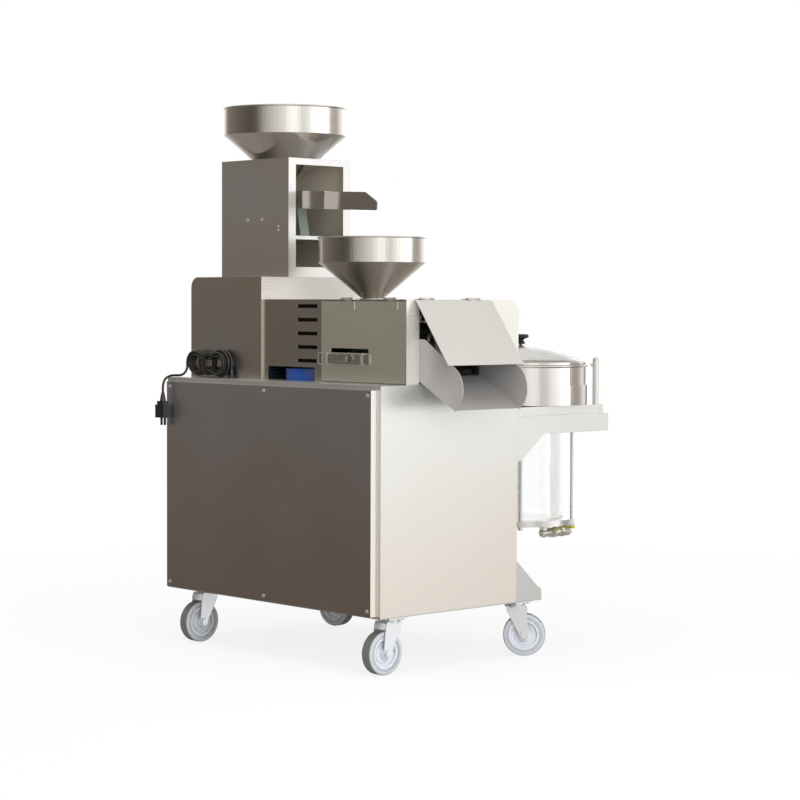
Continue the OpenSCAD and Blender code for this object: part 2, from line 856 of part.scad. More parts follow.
// Points of an arc between two angles
function arc(c, r, a0, a1, n) = [for (i = [0:n]) let (a = a0 + (a1 - a0) * i / n) c + r * [cos(a), sin(a)]];

// Side wall of the cake outlet, as reach and height: lip, nose, the line to the corner, and the back
module chute_outline() {
    back_z = chute_z + chute_back * tan(chute_drop);
    lip_a = atan2(lip_z - nose_c[1], lip_out - nose_c[0]);
    top_a = atan2(nose_n[1], nose_n[0]);
    polygon(concat([[-chute_back, back_z - hem], [lip_out, lip_z - hem]], arc(nose_c, nose_r, lip_a, top_a, 28),
        arc(corner_c, corner_r, top_a, 90, 10), [[-chute_back, corner_c[1] + corner_r]]));
}

module cake_chute() {
    color(bright) union() {
        for (y = [chute_y0, chute_y1 - sheet]) translate([hx1, y, 0]) along_y(sheet) chute_outline();
        translate([hx1, chute_y0 + sheet / 2, chute_z]) rotate([0, chute_drop, 0])
            translate([-chute_back / cos(chute_drop) + hem, 0, 0])
                cube([lip_len - 2 * hem, chute_y1 - chute_y0 - sheet, sheet]);
    }
}

module cake_flap() {
    l = hinge_w / 2 - 2 * gap;
    tab_t = sheet + 0.6;
    color(bright) translate([flap_x, flap_y, flap_z]) difference() {
        union() {
            rotate([0, -flap_angle, 0]) {
                span([-sheet / 2, -flap_w / 2, -flap_l], [sheet / 2, flap_w / 2, -flap_clear]);
                for (y = flap_hinges)
                    span([-tab_t / 2, y - flap_y - l / 2 + 1, -flap_clear - 4], [tab_t / 2, y - flap_y + l / 2 - 1, -pin_r]);
            }
            for (y = flap_hinges) translate([0, y - flap_y, 0]) rotate([0, 0, 90]) moving_knuckle();
        }
        for (y = flap_hinges) translate([0, y - flap_y, 0]) rotate([0, 0, 90]) knuckle_bore();
    }
}

module feeder_tower() {
    sill = frame_w + 2;
    color(bright) difference() {
        span([tower_x0, tower_y0, tower_z0], [tower_x1, tower_y1, tower_z1]);
        span([tower_x0 + sheet, tower_y0 + sheet, tower_z0 - cut],
            [tower_x1 - sheet, tower_y1 - sheet, tower_z1 - sheet]);
        span([tower_x1 - sheet - cut, tower_y0 + frame_w, tower_z0 + sill],
            [tower_x1 + cut, tower_y1 - frame_w + 2, tower_z1 - frame_w + 7]);
        translate([tower_x, tower_y, tower_z1 - sheet - cut]) cylinder(r = feed_hole, h = sheet + 2 * cut);
        for (p = tower_big)
            translate([p[0], tower_y0 - cut, feeder_z + p[1]]) rod_y(screw_hole, sheet + 2 * cut);
        for (p = tower_small)
            translate([p[0], tower_y0 - cut, feeder_z + p[1]]) rod_y(screw_hole - 0.8, sheet + 2 * cut);
    }
}

// Folded shelf across the tower, with the upright flange that its screws hold
module feeder_base() {
    rear = tower_y0 + sheet;
    up = 3;
    color(steel) difference() {
        union() {
            span([tower_x0 + sheet, rear, feeder_z],
                [tower_x1 - sheet - gap, tower_y1 - sheet, feeder_z + feeder_t]);
            span([tower_x - 60, rear, feeder_z], [tower_x + 102, rear + up, feeder_z + 58]);
        }
        for (p = tower_big)
            translate([p[0], rear - cut, feeder_z + p[1]]) rod_y(screw_hole, up + 2 * cut);
        for (p = tower_small)
            translate([p[0], rear - cut, feeder_z + p[1]]) rod_y(screw_hole - 0.8, up + 2 * cut);
    }
}

// Height of the trough's underside at a given x
function trough_under(x) = trough_z - (x - tower_x1) * tan(trough_fall);

module leaf_springs() {
    z = feeder_z + feeder_t;
    color("paleturquoise") for (x = spring_xs, y = spring_ys) {
        h = (trough_under(x + spring_t) - z - gap) / (1 - tan(spring_lean) * tan(trough_fall));
        translate([x, tower_y + y - spring_w / 2, z]) along_y(spring_w) polygon([[0, 0], [spring_t, 0],
            [spring_t - h * tan(spring_lean), h], [-h * tan(spring_lean), h]]);
    }
}

module vibrator_coil() {
    z = feeder_z + feeder_t;
    core = 26;
    color("saddlebrown") translate([coil_x, tower_y, z]) {
        difference() {
            translate([-core, -core, 0]) cube([2 * core, 2 * core, 42]);
            translate([-core + 9, -core - cut, 22]) cube([2 * core - 18, 2 * core + 2 * cut, 30]);
        }
        translate([0, 0, 22]) cylinder(r = core - 10, h = 22);
    }
}

// Plan of the trough, drawn in by a wall; the spout's slanted end stays open
module trough_plan(t) {
    w = trough_w / 2 - t;
    s = spout_w / 2 - t;
    step = trough_out - t;
    polygon([[-trough_back + t, -w], [step, -w], [step, -s], [spout_out + t, -s],
        [spout_out - spout_slant + t, s], [step, s],
        [step, w], [-trough_back + t, w]]);
}

module feed_trough() {
    l = spout_bevel[0];
    h = spout_bevel[1];
    color(bright) translate([tower_x1, tower_y, trough_z]) rotate([0, trough_fall, 0]) difference() {
        linear_extrude(trough_h) trough_plan(0);
        translate([0, 0, trough_t]) linear_extrude(trough_h) trough_plan(trough_t);
        for (e = [[spout_out, -trough_w], [spout_out - spout_slant, 0]])
            translate([e[0], e[1], trough_h]) along_y(trough_w) polygon([[-l, cut], [cut, -h], [l, -h], [l, cut]]);
    }
}

// Wall of a spun hopper as radius and height: outlet, cone, straight wall and rolled rim
module hopper_wall(rim, z_top, z_wall, r_out, z_end) {
    t = sheet;
    r = rim - roll_in;
    z_cone = z_wall - (r - r_out) / cone_k;
    polygon([[r_out, z_end], [r_out, z_cone], [r, z_wall], [r, z_top], [r - t, z_top], [r - t, z_wall + t / 2],
        [r_out - t, z_cone + t / 2], [r_out - t, z_end]]);
    translate([r - t + roll_r, z_top - roll_r]) circle(roll_r);
}

module feed_hopper() {
    z_end = feed_z0 - (feed_r - roll_in - feed_out_r) / cone_k - feed_drop;
    color(bright) translate([tower_x, tower_y, 0]) rotate_extrude($fn = 128)
        hopper_wall(feed_r, feed_z1, feed_z0, feed_out_r, z_end);
}

module press_hopper() {
    color(bright) translate([throat_x, axis_y, 0]) rotate_extrude($fn = 128) {
        hopper_wall(hop_r, hop_z1, hop_z0, neck_r, press_z1 - neck_l);
        translate([neck_r - sheet / 2, press_z1 + 0.3]) square([collar_r - neck_r, collar_t]);
    }
}

module gear_reducer() {
    x = gear_x - gear_l / 2;
    z0 = deck_z + motor_flange_t;
    color(blue) difference() {
        union() {
            translate([x, axis_y, axis_z]) rod_x(gear_r, gear_l);
            translate([x - 6, axis_y, axis_z]) rod_x(gear_r - 22, gear_l + 12);
            translate([gear_x, motor_y, z0]) cylinder(r = flange_r, h = gear_flange_t);
            translate([gear_x, motor_y, z0]) cylinder(r = 40, h = axis_z + 52 - z0);
            span([gear_x - 36, motor_y, z0], [gear_x + 36, axis_y + gear_r - 12, axis_z]);
            for (a = [0:45:315]) translate([x - 3, axis_y, axis_z]) rotate([a + 22.5, 0, 0])
                translate([0, gear_r - 8, 0]) rod_x(5, gear_l + 6);
        }
        translate([x - 20, axis_y, axis_z]) rod_x(shaft_r + run_gap, gear_l + 40);
    }
}

module drive_motor() {
    cowl_h = 46;
    color(blue) translate([gear_x, motor_y, 0]) union() {
        translate([0, 0, deck_z]) cylinder(r = flange_r, h = motor_flange_t);
        translate([0, 0, deck_z - motor_l]) cylinder(r = motor_r, h = motor_l + cut);
        translate([0, 0, deck_z - motor_l - cowl_h]) cylinder(r = motor_r + fin_h, h = cowl_h);
        for (i = [0:fin_n - 1]) rotate([0, 0, i * 360 / fin_n])
            translate([motor_r - 2, -fin_t / 2, deck_z - motor_l - cut]) cube([fin_h + 1, fin_t, motor_l - 24]);
    }
}

module press_barrel() {
    l = barrel_x1 - barrel_x0;
    color("slategray") difference() {
        union() {
            translate([barrel_x0, axis_y, axis_z]) rod_x(barrel_r, l);
            translate([throat_x, axis_y, axis_z]) cylinder(r = throat_r, h = throat_top - axis_z);
            for (x = [barrel_x0, barrel_x1 - foot_l]) {
                span([x, axis_y - barrel_r, deck_z], [x + foot_l, axis_y + barrel_r, axis_z]);
                span([x, axis_y - barrel_r - 22, deck_z], [x + foot_l, axis_y + barrel_r + 22, deck_z + 12]);
            }
        }
        translate([barrel_x0 - cut, axis_y, axis_z]) rod_x(bore_r, l + 2 * cut);
        translate([throat_x, axis_y, axis_z]) cylinder(r = neck_r + 0.6, h = press_h);
        for (i = [0:oil_slots - 1]) span([oil_x + i * oil_pitch, axis_y - 16, axis_z - barrel_r - cut],
            [oil_x + i * oil_pitch + oil_slot_w, axis_y + 16, axis_z]);
    }
}

module heater_band() {
    ear = 14;
    color("tan") difference() {
        union() {
            translate([heater_x, axis_y, axis_z]) rod_x(barrel_r + heater_t, heater_l);
            for (x = [heater_x + 14, heater_x + heater_l - 26])
                span([x, axis_y - 9, axis_z + barrel_r],
                    [x + 12, axis_y + 9, axis_z + barrel_r + heater_t + ear]);
        }
        translate([heater_x - cut, axis_y, axis_z]) rod_x(barrel_r + 0.1, heater_l + 2 * cut);
        span([heater_x - cut, axis_y - 2, axis_z + barrel_r - 2],
            [heater_x + heater_l + cut, axis_y + 2, axis_z + barrel_r + 40]);
    }
}

// Shaft from the gear's hollow output through the worm
module press_shaft() {
    from = gear_x - gear_l / 2 - 14;
    collar_x = gear_x + gear_l / 2 + 8;
    color("lightsteelblue") union() {
        translate([from, axis_y, axis_z]) rod_x(shaft_r, worm_x1 - from + 6);
        translate([collar_x, axis_y, axis_z]) rod_x(shaft_r + 6, barrel_x0 - 8 - collar_x);
    }
}

// Radius of the worm's surface: a helical flight on a root that swells towards the outlet
function worm_lobe(u) = let (v = abs(2 * (u - floor(u)) - 1)) v < 0.2 ? 1 : v > 0.36 ? 0 : (0.36 - v) / 0.16;
function worm_surface(x, a) =
    let (k = (x - worm_x0) / (worm_x1 - worm_x0), root = worm_root + k * (worm_root_end - worm_root))
    root + (worm_r - root) * worm_lobe((x - worm_x0) / worm_pitch - a / 360);

// Worm: its surface is worked out ring by ring, round a bore for the shaft
module press_worm() {
    n = worm_sides;
    rings = ceil((worm_x1 - worm_x0) / worm_pitch * worm_steps);
    bore = (shaft_r + 0.3) / cos(180 / n);
    outer = [for (i = [0:rings], j = [0:n - 1])
        let (x = worm_x0 + (worm_x1 - worm_x0) * i / rings, a = 360 * j / n, r = worm_surface(x, a))
        [x, axis_y + r * cos(a), axis_z + r * sin(a)]];
    inner = [for (x = [worm_x0, worm_x1], j = [0:n - 1])
        [x, axis_y + bore * cos(360 * j / n), axis_z + bore * sin(360 * j / n)]];
    b = len(outer);
    last = rings * n;
    faces = [for (j = [0:n - 1]) let (k = (j + 1) % n) each concat(
        [for (i = [0:rings - 1]) each [[i * n + j, i * n + k, (i + 1) * n + k],
            [i * n + j, (i + 1) * n + k, (i + 1) * n + j]]],
        [[b + j, b + n + k, b + k], [b + j, b + n + j, b + n + k],
            [j, b + j, b + k], [j, b + k, k],
            [last + j, last + k, b + n + k], [last + j, b + n + k, b + n + j]])];
    color("lightsteelblue") polyhedron(concat(outer, inner), [for (f = faces) [f[2], f[1], f[0]]]);
}

// Choke nut at the outlet, with spanner holes
module choke_nut() {
    x = barrel_x1 + 0.3;
    color("slategray") difference() {
        union() {
            translate([x, axis_y, axis_z]) rod_x(nut_r, nut_l);
            translate([x, axis_y, axis_z]) rod_x(nut_r + 4, 8);
        }
        translate([x - cut, axis_y, axis_z]) rod_x(worm_r + 2.5, nut_l + 2 * cut);
        for (a = [0:60:300]) translate([x + nut_l - 11, axis_y, axis_z]) rotate([a, 0, 0])
            translate([0, 0, worm_r + 4]) cylinder(r = 4, h = nut_r);
    }
}

// Tray under the barrel's oil slots, with its pipe through the front wall to the pan
module oil_tray() {
    depth = 14;
    ty0 = axis_y - 40;
    ty1 = hy1 - sheet - 8;
    end = filter_y - sqrt(pow(pan_r - pan_step, 2) - pow(pipe_r, 2)) + pan_t + 2;
    color(bright) difference() {
        union() {
            span([tray_x0, ty0, tray_z - depth], [tray_x0 + tray_l, ty1, tray_z]);
            span([tray_x0, ty1 - 30, tray_z - depth - 4], [filter_x + pipe_r + 4, ty1, tray_z + 6]);
            translate([filter_x, ty1 - 2, pipe_z]) rod_y(pipe_r, end - ty1 + 2);
        }
        span([tray_x0 + sheet, ty0 + sheet, tray_z - depth + sheet],
            [tray_x0 + tray_l - sheet, ty1 - sheet, tray_z + 20]);
        span([tray_x0 + sheet, ty1 - 30 + sheet, tray_z - depth - 4 + sheet],
            [filter_x + pipe_r + 4 - sheet, ty1 - sheet, tray_z + 20]);
        translate([filter_x, ty1 - 10, pipe_z]) rod_y(pipe_r - sheet, end - ty1 + 20);
    }
}

// Side plate of the filter shelf in Y and Z, with its gusset against the cabinet
module shelf_side() {
    polygon([[0, 0], [shelf_l, 0], [shelf_l, -shelf_h], [gusset_out, -shelf_h], [20, -shelf_h - gusset_down],
        [0, -shelf_h - gusset_down]]);
}

module filter_shelf() {
    color(steel) union() {
        difference() {
            span([shelf_x0, y1, shelf_z - shelf_t], [shelf_x1, y1 + shelf_l, shelf_z]);
            translate([filter_x, filter_y, shelf_z - shelf_t - cut]) {
                cylinder(r = drain_r + 6, h = shelf_t + 2 * cut);
                for (a = [45:90:315]) rotate([0, 0, a]) translate([rod_ring, 0, 0])
                    cylinder(r = rod_r + 0.1, h = shelf_t + 2 * cut);
            }
        }
        for (x = [shelf_x0, shelf_x1 - shelf_t]) translate([x, y1, shelf_z]) along_x(shelf_t) shelf_side();
        span([shelf_x0, y1 + shelf_l - shelf_t, shelf_z - shelf_h], [shelf_x1, y1 + shelf_l, shelf_z]);
        difference() {
            span([shelf_x0 + skirt_in, y1 + gap, shelf_z - shelf_t],
                [shelf_x1 - skirt_in, y1 + shelf_l - skirt_end, shelf_z + skirt_h]);
            span([shelf_x0 + skirt_in + sheet, y1, shelf_z - shelf_t - cut],
                [shelf_x1 - skirt_in - sheet, y1 + shelf_l - skirt_end + cut, shelf_z + skirt_h + cut]);
        }
        translate([post_x, post_y, shelf_z]) cylinder(r = post_r, h = post_h - 4);
        translate([post_x, post_y, shelf_z + post_h - 4]) cylinder(r1 = post_r, r2 = post_r - 4, h = 4);
        translate([post_x, post_y, shelf_z + post_h - 18]) rotate([0, -90, 37]) cylinder(r = 4, h = post_r + 5);
    }
}

// Pan with its ring, lower band and rolled rim, as radius and height
module pan_outline() {
    z = pan_z0 + ring_h;
    r = pan_r - pan_step;
    t = pan_t;
    polygon([[ring_r, pan_z0], [ring_r, z], [pan_r, z], [pan_r, z + band_h], [r, z + band_h], [r, pan_z1],
        [r - t, pan_z1], [r - t, z + t], [drain_r, z + t], [drain_r, z], [ring_r - t, z],
        [ring_r - t, pan_z0]]);
    translate([r - t + pan_roll, pan_z1]) circle(pan_roll);
}

module filter_pan() {
    color(bright) difference() {
        translate([filter_x, filter_y, 0]) rotate_extrude($fn = 128) pan_outline();
        translate([filter_x, filter_y - pan_r - 9, pipe_z]) rod_y(pipe_r + 0.3, 20);
        translate([pump_x, filter_y - ring_r - 4, line_z]) rod_y(line_r + 0.2, 12);
    }
}

module filter_screen() {
    r = pan_r - pan_step - pan_t - 0.4;
    legs = 3;
    color("lightgray") translate([filter_x, filter_y, 0]) difference() {
        union() {
            translate([0, 0, screen_z]) cylinder(r = r, h = screen_t);
            for (a = [0:360 / legs:359]) rotate([0, 0, a + 30]) translate([r - 24, 0, pan_z0 + ring_h + pan_t])
                cylinder(r = 6, h = screen_z - pan_z0 - ring_h - pan_t + 1);
        }
        for (k = [1:5], i = [0:6 * k - 1]) rotate([0, 0, 360 * i / (6 * k)])
            translate([k * r / 6.2, 0, screen_z - cut]) cylinder(r = 4, h = screen_t + 2 * cut);
    }
}

// Domed glass, as a slice of a hollow ball
module lid_glass() {
    z = lid_z + rim_h - 2;
    color("lightcyan") translate([filter_x, filter_y, z]) difference() {
        intersection() {
            translate([0, 0, dome_h - dome_r]) difference() {
                sphere(dome_r, $fn = 128);
                sphere(dome_r - glass_t, $fn = 128);
            }
            cylinder(r = lid_r - rim_w / 2 - 0.3, h = 2 * dome_h);
        }
        cylinder(r = 4, h = 2 * dome_h);
    }
}

module lid_rim() {
    color(bright) translate([filter_x, filter_y, 0]) rotate_extrude($fn = 128) difference() {
        translate([lid_r - rim_w, lid_z]) square([rim_w + 3, rim_h]);
        translate([lid_r - rim_w - cut, lid_z + rim_h - 2 - 0.2]) square([rim_w / 2 + cut, rim_h]);
    }
}

module lid_knob() {
    z = lid_z + rim_h - 2 + dome_h + 0.1;
    color(black) translate([filter_x, filter_y, z]) {
        rotate_extrude() {
            polygon([[0, 0], [11, 0], [11, 4], [8, 7], [8, 11], [knob_r - 4, 15], [knob_r, knob_h - 5],
                [knob_r - 5, knob_h], [0, knob_h]]);
            translate([knob_r - 5, knob_h - 5]) circle(5);
        }
        translate([0, 0, -glass_t - 1]) cylinder(r = 3.6, h = glass_t + 2);
        translate([0, 0, -glass_t - 5]) cylinder(r = 8, h = 4);
    }
}

module collector_tube() {
    z = tank_z + tank_t;
    color("azure") translate([filter_x, filter_y, z]) difference() {
        cylinder(r = tube_r, h = shelf_z - shelf_t - z);
        translate([0, 0, -cut]) cylinder(r = tube_r - tube_t, h = shelf_z);
    }
}

module collector_plate() {
    color(steel) difference() {
        translate([filter_x, filter_y, tank_z]) cylinder(r = tank_r, h = tank_t);
        translate([filter_x, filter_y, tank_z - cut]) for (a = [45:90:315]) rotate([0, 0, a])
            translate([rod_ring, 0, 0]) cylinder(r = rod_r + 0.1, h = tank_t + 2 * cut);
        translate([valve_x, valve_y, tank_z - cut]) cylinder(r = valve_r - 5, h = tank_t + 2 * cut);
    }
}

module tie_rods() {
    end = 2;
    color(bright) translate([filter_x, filter_y, 0]) for (a = [45:90:315])
        rotate([0, 0, a]) translate([rod_ring, 0, 0]) {
        translate([0, 0, tank_z - nut_h - end]) cylinder(r = rod_r, h = rod_top - tank_z + nut_h + end);
        translate([0, 0, tank_z - nut_h]) hex(rod_r + 4, nut_h);
        translate([0, 0, shelf_z]) hex(rod_r + 4, nut_h);
    }
}

// Ball valve under the collector, its outlet towards the operator
module drain_valve() {
    bore = valve_r - 5;
    color("silver") difference() {
        union() {
            translate([valve_x, valve_y, valve_z]) cylinder(r = valve_r - 2, h = tank_z - valve_z);
            translate([valve_x, valve_y, valve_z]) sphere(valve_r);
            translate([valve_x, valve_y, valve_z]) rod_y(valve_r - 2, valve_l);
            translate([valve_x, ball_y, valve_z]) sphere(valve_r + 1);
            for (y = [ball_y - 24, ball_y + 12])
                translate([valve_x, y, valve_z]) rotate([-90, 0, 0]) hex(valve_r + 2, 12);
            translate([valve_x, ball_y, valve_z]) cylinder(r = 6, h = lever_z - valve_z - gap);
            for (i = [0:2]) translate([valve_x, valve_y + valve_l - 6 - 7 * i, valve_z]) rotate([-90, 0, 0])
                cylinder(r1 = valve_r, r2 = valve_r - 3, h = 6);
        }
        translate([valve_x, ball_y + 20, valve_z]) rod_y(bore, valve_l);
        translate([valve_x, ball_y, lever_z - 5]) cylinder(r = 3 + run_gap, h = 10);
    }
}

// Lever on the valve's stem; it points along +X while the valve is shut
module valve_lever() {
    w = 10;
    color("yellowgreen") translate([valve_x, ball_y, lever_z]) union() {
        translate([0, 0, -5 + gap]) cylinder(r = 3, h = 6);
        cylinder(r = 9, h = 3);
        translate([0, -w / 2, 0]) cube([lever_l, w, 3]);
        translate([lever_l, 0, 0]) cylinder(r = w / 2, h = 3);
        translate([lever_l * 0.4, -w / 2 - 1.5, -1.5]) cube([lever_l * 0.6, w + 3, 6]);
    }
}

module control_panel() {
    color("lightgray") difference() {
        union() {
            span([ctl_x - ctl_w / 2, hy1, ctl_z - ctl_h / 2], [ctl_x + ctl_w / 2, ctl_y, ctl_z + ctl_h / 2]);
            translate([meter_at[0] - meter_size[0] / 2, ctl_y, meter_at[1] - meter_size[1] / 2])
                cube([meter_size[0], 6, meter_size[1]]);
            for (p = [start_at, stop_at]) translate([p[0], ctl_y, p[1]]) rod_y(button_r + 4, 3);
        }
        translate([meter_at[0] - meter_size[0] / 2 + 5, ctl_y + 4, meter_at[1] - meter_size[1] / 2 + 5])
            cube([meter_size[0] - 10, 6, meter_size[1] - 10]);
        for (p = [selector_at, speed_at])
            translate([p[0], hy1 - cut, p[1]]) rod_y(spindle_r + run_gap, ctl_t + 2 * cut);
        for (p = [start_at, stop_at]) translate([p[0], hy1 - cut, p[1]]) rod_y(button_r + 0.1, 20);
    }
}

// Turning knob with a grip bar and its spindle
module dial(at, ridged) {
    color(black) translate([at[0], ctl_y + gap, at[1]]) difference() {
        union() {
            translate([0, -ctl_t - 8, 0]) rod_y(spindle_r, ctl_t + 9);
            rotate([-90, 0, 0]) cylinder(r1 = dial_r, r2 = dial_r - 2, h = ridged ? dial_h : dial_h - 9);
            if (!ridged) translate([-4.5, 0, -dial_r + 1]) cube([9, dial_h, 2 * dial_r - 2]);
        }
        if (ridged) for (a = [0:20:340]) rotate([0, a, 0]) translate([dial_r + 0.6, 4, 0]) rod_y(1.8, dial_h);
        translate([-0.8, dial_h - 1, 4]) cube([1.6, 2, dial_r]);
    }
}

module selector_knob() {
    dial(selector_at, false);
}

module speed_knob() {
    dial(speed_at, true);
}

// Push button with a retaining collar behind the panel
module push_button(at, tint) {
    color(tint) translate([at[0], 0, at[1]]) {
        translate([0, hy1 - sheet - 6, 0]) rod_y(button_r, ctl_y - hy1 + sheet + 6 + button_h - 1);
        translate([0, ctl_y + button_h - 1, 0]) rotate([-90, 0, 0])
            cylinder(r1 = button_r, r2 = button_r - 1.5, h = 1.5);
    }
}

module start_button() {
    push_button(start_at, "seagreen");
}

module stop_button() {
    push_button(stop_at, "firebrick");
}

// Pump on the cabinet's floor and the line that draws air from under the filter
module vacuum_pump() {
    z = base_z + base_t;
    mid = z + pump_r + 12;
    bend = 24;
    color(black) union() {
        span([pump_x - pump_l / 2, pump_y - 44, z], [pump_x + pump_l / 2, pump_y + 44, z + 10]);
        span([pump_x - pump_l / 2 + 20, pump_y - 20, z], [pump_x + pump_l / 2 - 20, pump_y + 20, mid]);
        translate([pump_x - pump_l / 2, pump_y, mid]) rod_x(pump_r, pump_l * 0.62);
        translate([pump_x + pump_l * 0.12, pump_y, mid]) rod_x(pump_r - 10, pump_l * 0.38);
        span([pump_x - 14, pump_y, mid - 14], [pump_x + 14, line_y + 14, mid + 14]);
        translate([pump_x, line_y, mid]) cylinder(r = line_r, h = line_z - bend - mid);
        translate([pump_x, line_y + bend, line_z - bend]) rotate([0, -90, 0]) rotate([0, 0, -90])
            rotate_extrude(angle = 90) translate([bend, 0]) circle(line_r);
        translate([pump_x, line_y + bend, line_z]) rod_y(line_r, filter_y - ring_r + 4 - line_y - bend);
    }
}

// Tapered strain relief on the ledge
module cord_gland() {
    color(black) translate([gland_x, hank_y, deck_z]) difference() {
        union() {
            cylinder(r = gland_r, h = 4, $fn = 48);
            cylinder(r1 = cord_r + 3.5, r2 = cord_r + 1.2, h = gland_h, $fn = 48);
            translate([0, 0, -sheet - 3]) cylinder(r = cord_r + 1.8, h = sheet + 4, $fn = 48);
        }
        translate([0, 0, gland_h - 6]) cylinder(r = cord_r + 0.2, h = 8, $fn = 48);
    }
}

// Tube of n sides along points, its rings square to the path
function unit(v) = v / norm(v);
function heading(p, i) = unit(p[min(i + 1, len(p) - 1)] - p[max(i - 1, 0)]);
function across(t) = unit(cross(t, abs(t[1]) > 0.9 ? [1, 0, 0] : [0, 1, 0]));
function tube_points(p, r, n) = [for (i = [0:len(p) - 1])
    let (t = heading(p, i), u = across(t), v = cross(t, u))
    for (j = [0:n - 1]) p[i] + r * (cos(360 * j / n) * u + sin(360 * j / n) * v)];
function tube_faces(m, n) = concat(
    [for (i = [1:n - 2]) [0, i, i + 1]],
    [for (i = [0:m - 2], j = [0:n - 1]) let (k = (j + 1) % n) each
        [[i * n + j, (i + 1) * n + k, i * n + k], [i * n + j, (i + 1) * n + j, (i + 1) * n + k]]],
    [for (i = [1:n - 2]) [(m - 1) * n, (m - 1) * n + i + 1, (m - 1) * n + i]]);

module tube(p, r, n) {
    polyhedron(tube_points(p, r, n), tube_faces(len(p), n));
}

// Hank: loops spiral in and out, layer by layer, and are drawn in at the waist.
// A turn starts at the right fold, rises, runs left along the top and comes back along the foot.
function hank_radius(t) = let (u = t / hank_loops, k = u - 2 * floor(u / 2))
    hank_r - hank_loops * hank_pitch * (k < 1 ? k : 2 - k);
function climb(t) = let (u = t / hank_loops, i = round(u), d = (u - i) * hank_loops)
    (i < 1 || i > hank_layers - 1) ? min(max(i - 1, 0), hank_layers - 1)
    : i - 1 + min(max(d / 0.5 + 0.5, 0), 1);
function drawn(x) = waist * (0.5 + 0.5 * cos(180 * min(abs(x) / (hank_run / 2), 1)));
// Share of a turn to a point of the loop with folds of radius r
function loop_point(s, r) = let (half = hank_run / 2, q = s * 8)
    q < 1 ? [half + r * cos(90 * q), r * sin(90 * q)]
    : q < 3 ? [half - hank_run * (q - 1) / 2, r]
    : q < 5 ? [-half - r * sin(90 * (q - 3)), r * cos(90 * (q - 3))]
    : q < 7 ? [-half + hank_run * (q - 5) / 2, -r]
    : [half + r * sin(90 * (q - 7)), -r * cos(90 * (q - 7))];
function hank_point(t) = let (p = loop_point(t - floor(t), hank_radius(t)),
    b = abs(p[0]) < hank_run / 2 ? p[1] - sign(p[1]) * drawn(p[0]) : p[1])
    [hank_x + p[0], hank_y - layer_pitch * climb(t), hank_z + b];
hank_end = hank_turns - 0.5;
hank_steps = round(hank_end * loop_rings);
hank_pts = concat([[gland_x, hank_y, hank_z - cord_d]],
    [for (i = [0:hank_steps]) hank_point(hank_end * i / hank_steps)], [hank_point(hank_end) - [0, 0, cord_d]]);

// Least distance between turns, measured between ring centres and the steps they belong to
function step_gap(p, a, b) = let (u = b - a, k = min(max(((p - a) * u) / (u * u), 0), 1)) norm(p - a - k * u);
hank_gap = min([for (i = [0:len(hank_pts) - 1], j = [i + 6:1:len(hank_pts) - 2])
    step_gap(hank_pts[i], hank_pts[j], hank_pts[j + 1])]) - cord_d;
function path_length(p) = let (n = len(p) - 1)
    [for (i = [1:n]) norm(p[i] - p[i - 1])] * [for (i = [1:n]) 1];

module cord_hank() {
    echo(hank_gap = hank_gap, hank_length = path_length(hank_pts));
    color(black) tube(hank_pts, cord_r, loop_sides);
}

module cord_run() {
    color(black) {
        tube(lead_pts, cord_r, 8);
        tube(tail_pts, cord_r, 8);
    }
}

module power_plug() {
    pin_l = 18;
    color(black) translate(plug_at) union() {
        translate([0, 0, -relief_h]) cylinder(r1 = 8, r2 = cord_r + 1, h = relief_h);
        translate([0, 0, -relief_h - plug_h]) {
            translate([-plug_w / 2, -plug_t / 2, 0]) cube([plug_w, plug_t, plug_h - 8]);
            translate([-plug_w / 2 + 5, -plug_t / 2 + 2, 0]) cube([plug_w - 10, plug_t - 4, plug_h + 1]);
            for (s = [-1, 1]) translate([s * 8, 0, -pin_l]) rotate([0, 0, s * 30])
                translate([-3, -1, 0]) cube([6, 2, pin_l + 1]);
            translate([-1, -7, -pin_l]) cube([2, 6, pin_l + 1]);
        }
    }
}

place() cabinet_shell();
place() cabinet_base();
place() rear_panel();
place() cover_screws();
place() caster_plates();
place() caster_fork(caster_rr);  // caster_fork_rr
place() wheel_hub(caster_rr);  // wheel_hub_rr
place() wheel_tyre(caster_rr);  // wheel_tyre_rr
place() caster_fork(caster_rl);  // caster_fork_rl
place() wheel_hub(caster_rl);  // wheel_hub_rl
place() wheel_tyre(caster_rl);  // wheel_tyre_rl
place() caster_fork(caster_fr);  // caster_fork_fr
place() wheel_hub(caster_fr);  // wheel_hub_fr
place() wheel_tyre(caster_fr);  // wheel_tyre_fr
place() caster_fork(caster_fl);  // caster_fork_fl
place() wheel_hub(caster_fl);  // wheel_hub_fl
place() wheel_tyre(caster_fl);  // wheel_tyre_fl
place() control_box();
place() press_housing();
place() rear_door();
place() hinge_leaves();
place() latch_bar();
place() cake_chute();
place() cake_flap();
place() feeder_tower();
place() feeder_base();
place() leaf_springs();
place() vibrator_coil();
place() feed_trough();
place() feed_hopper();
place() press_hopper();
place() gear_reducer();
place() drive_motor();
place() press_barrel();
place() heater_band();
place() press_shaft();
place() press_worm();
place() choke_nut();
place() oil_tray();
place() filter_shelf();
place() filter_pan();
place() filter_screen();
place() lid_glass();
place() lid_rim();
place() lid_knob();
place() collector_tube();
place() collector_plate();
place() tie_rods();
place() drain_valve();
place() valve_lever();
place() control_panel();
place() selector_knob();
place() speed_knob();
place() start_button();
place() stop_button();
place() vacuum_pump();
place() cord_gland();
place() cord_hank();
place() cord_run();
place() power_plug();
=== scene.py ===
"""Looks of a stainless screw oil press on casters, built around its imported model.

Lengths are in metres in the row frame. Sizes that repeat those of the part's source are in millimetres from
the middle of the cabinet, and row() turns them into the row frame.
"""
import json
import logging
import math
from dataclasses import dataclass, field, replace
from enum import Enum
from typing import Optional, Sequence

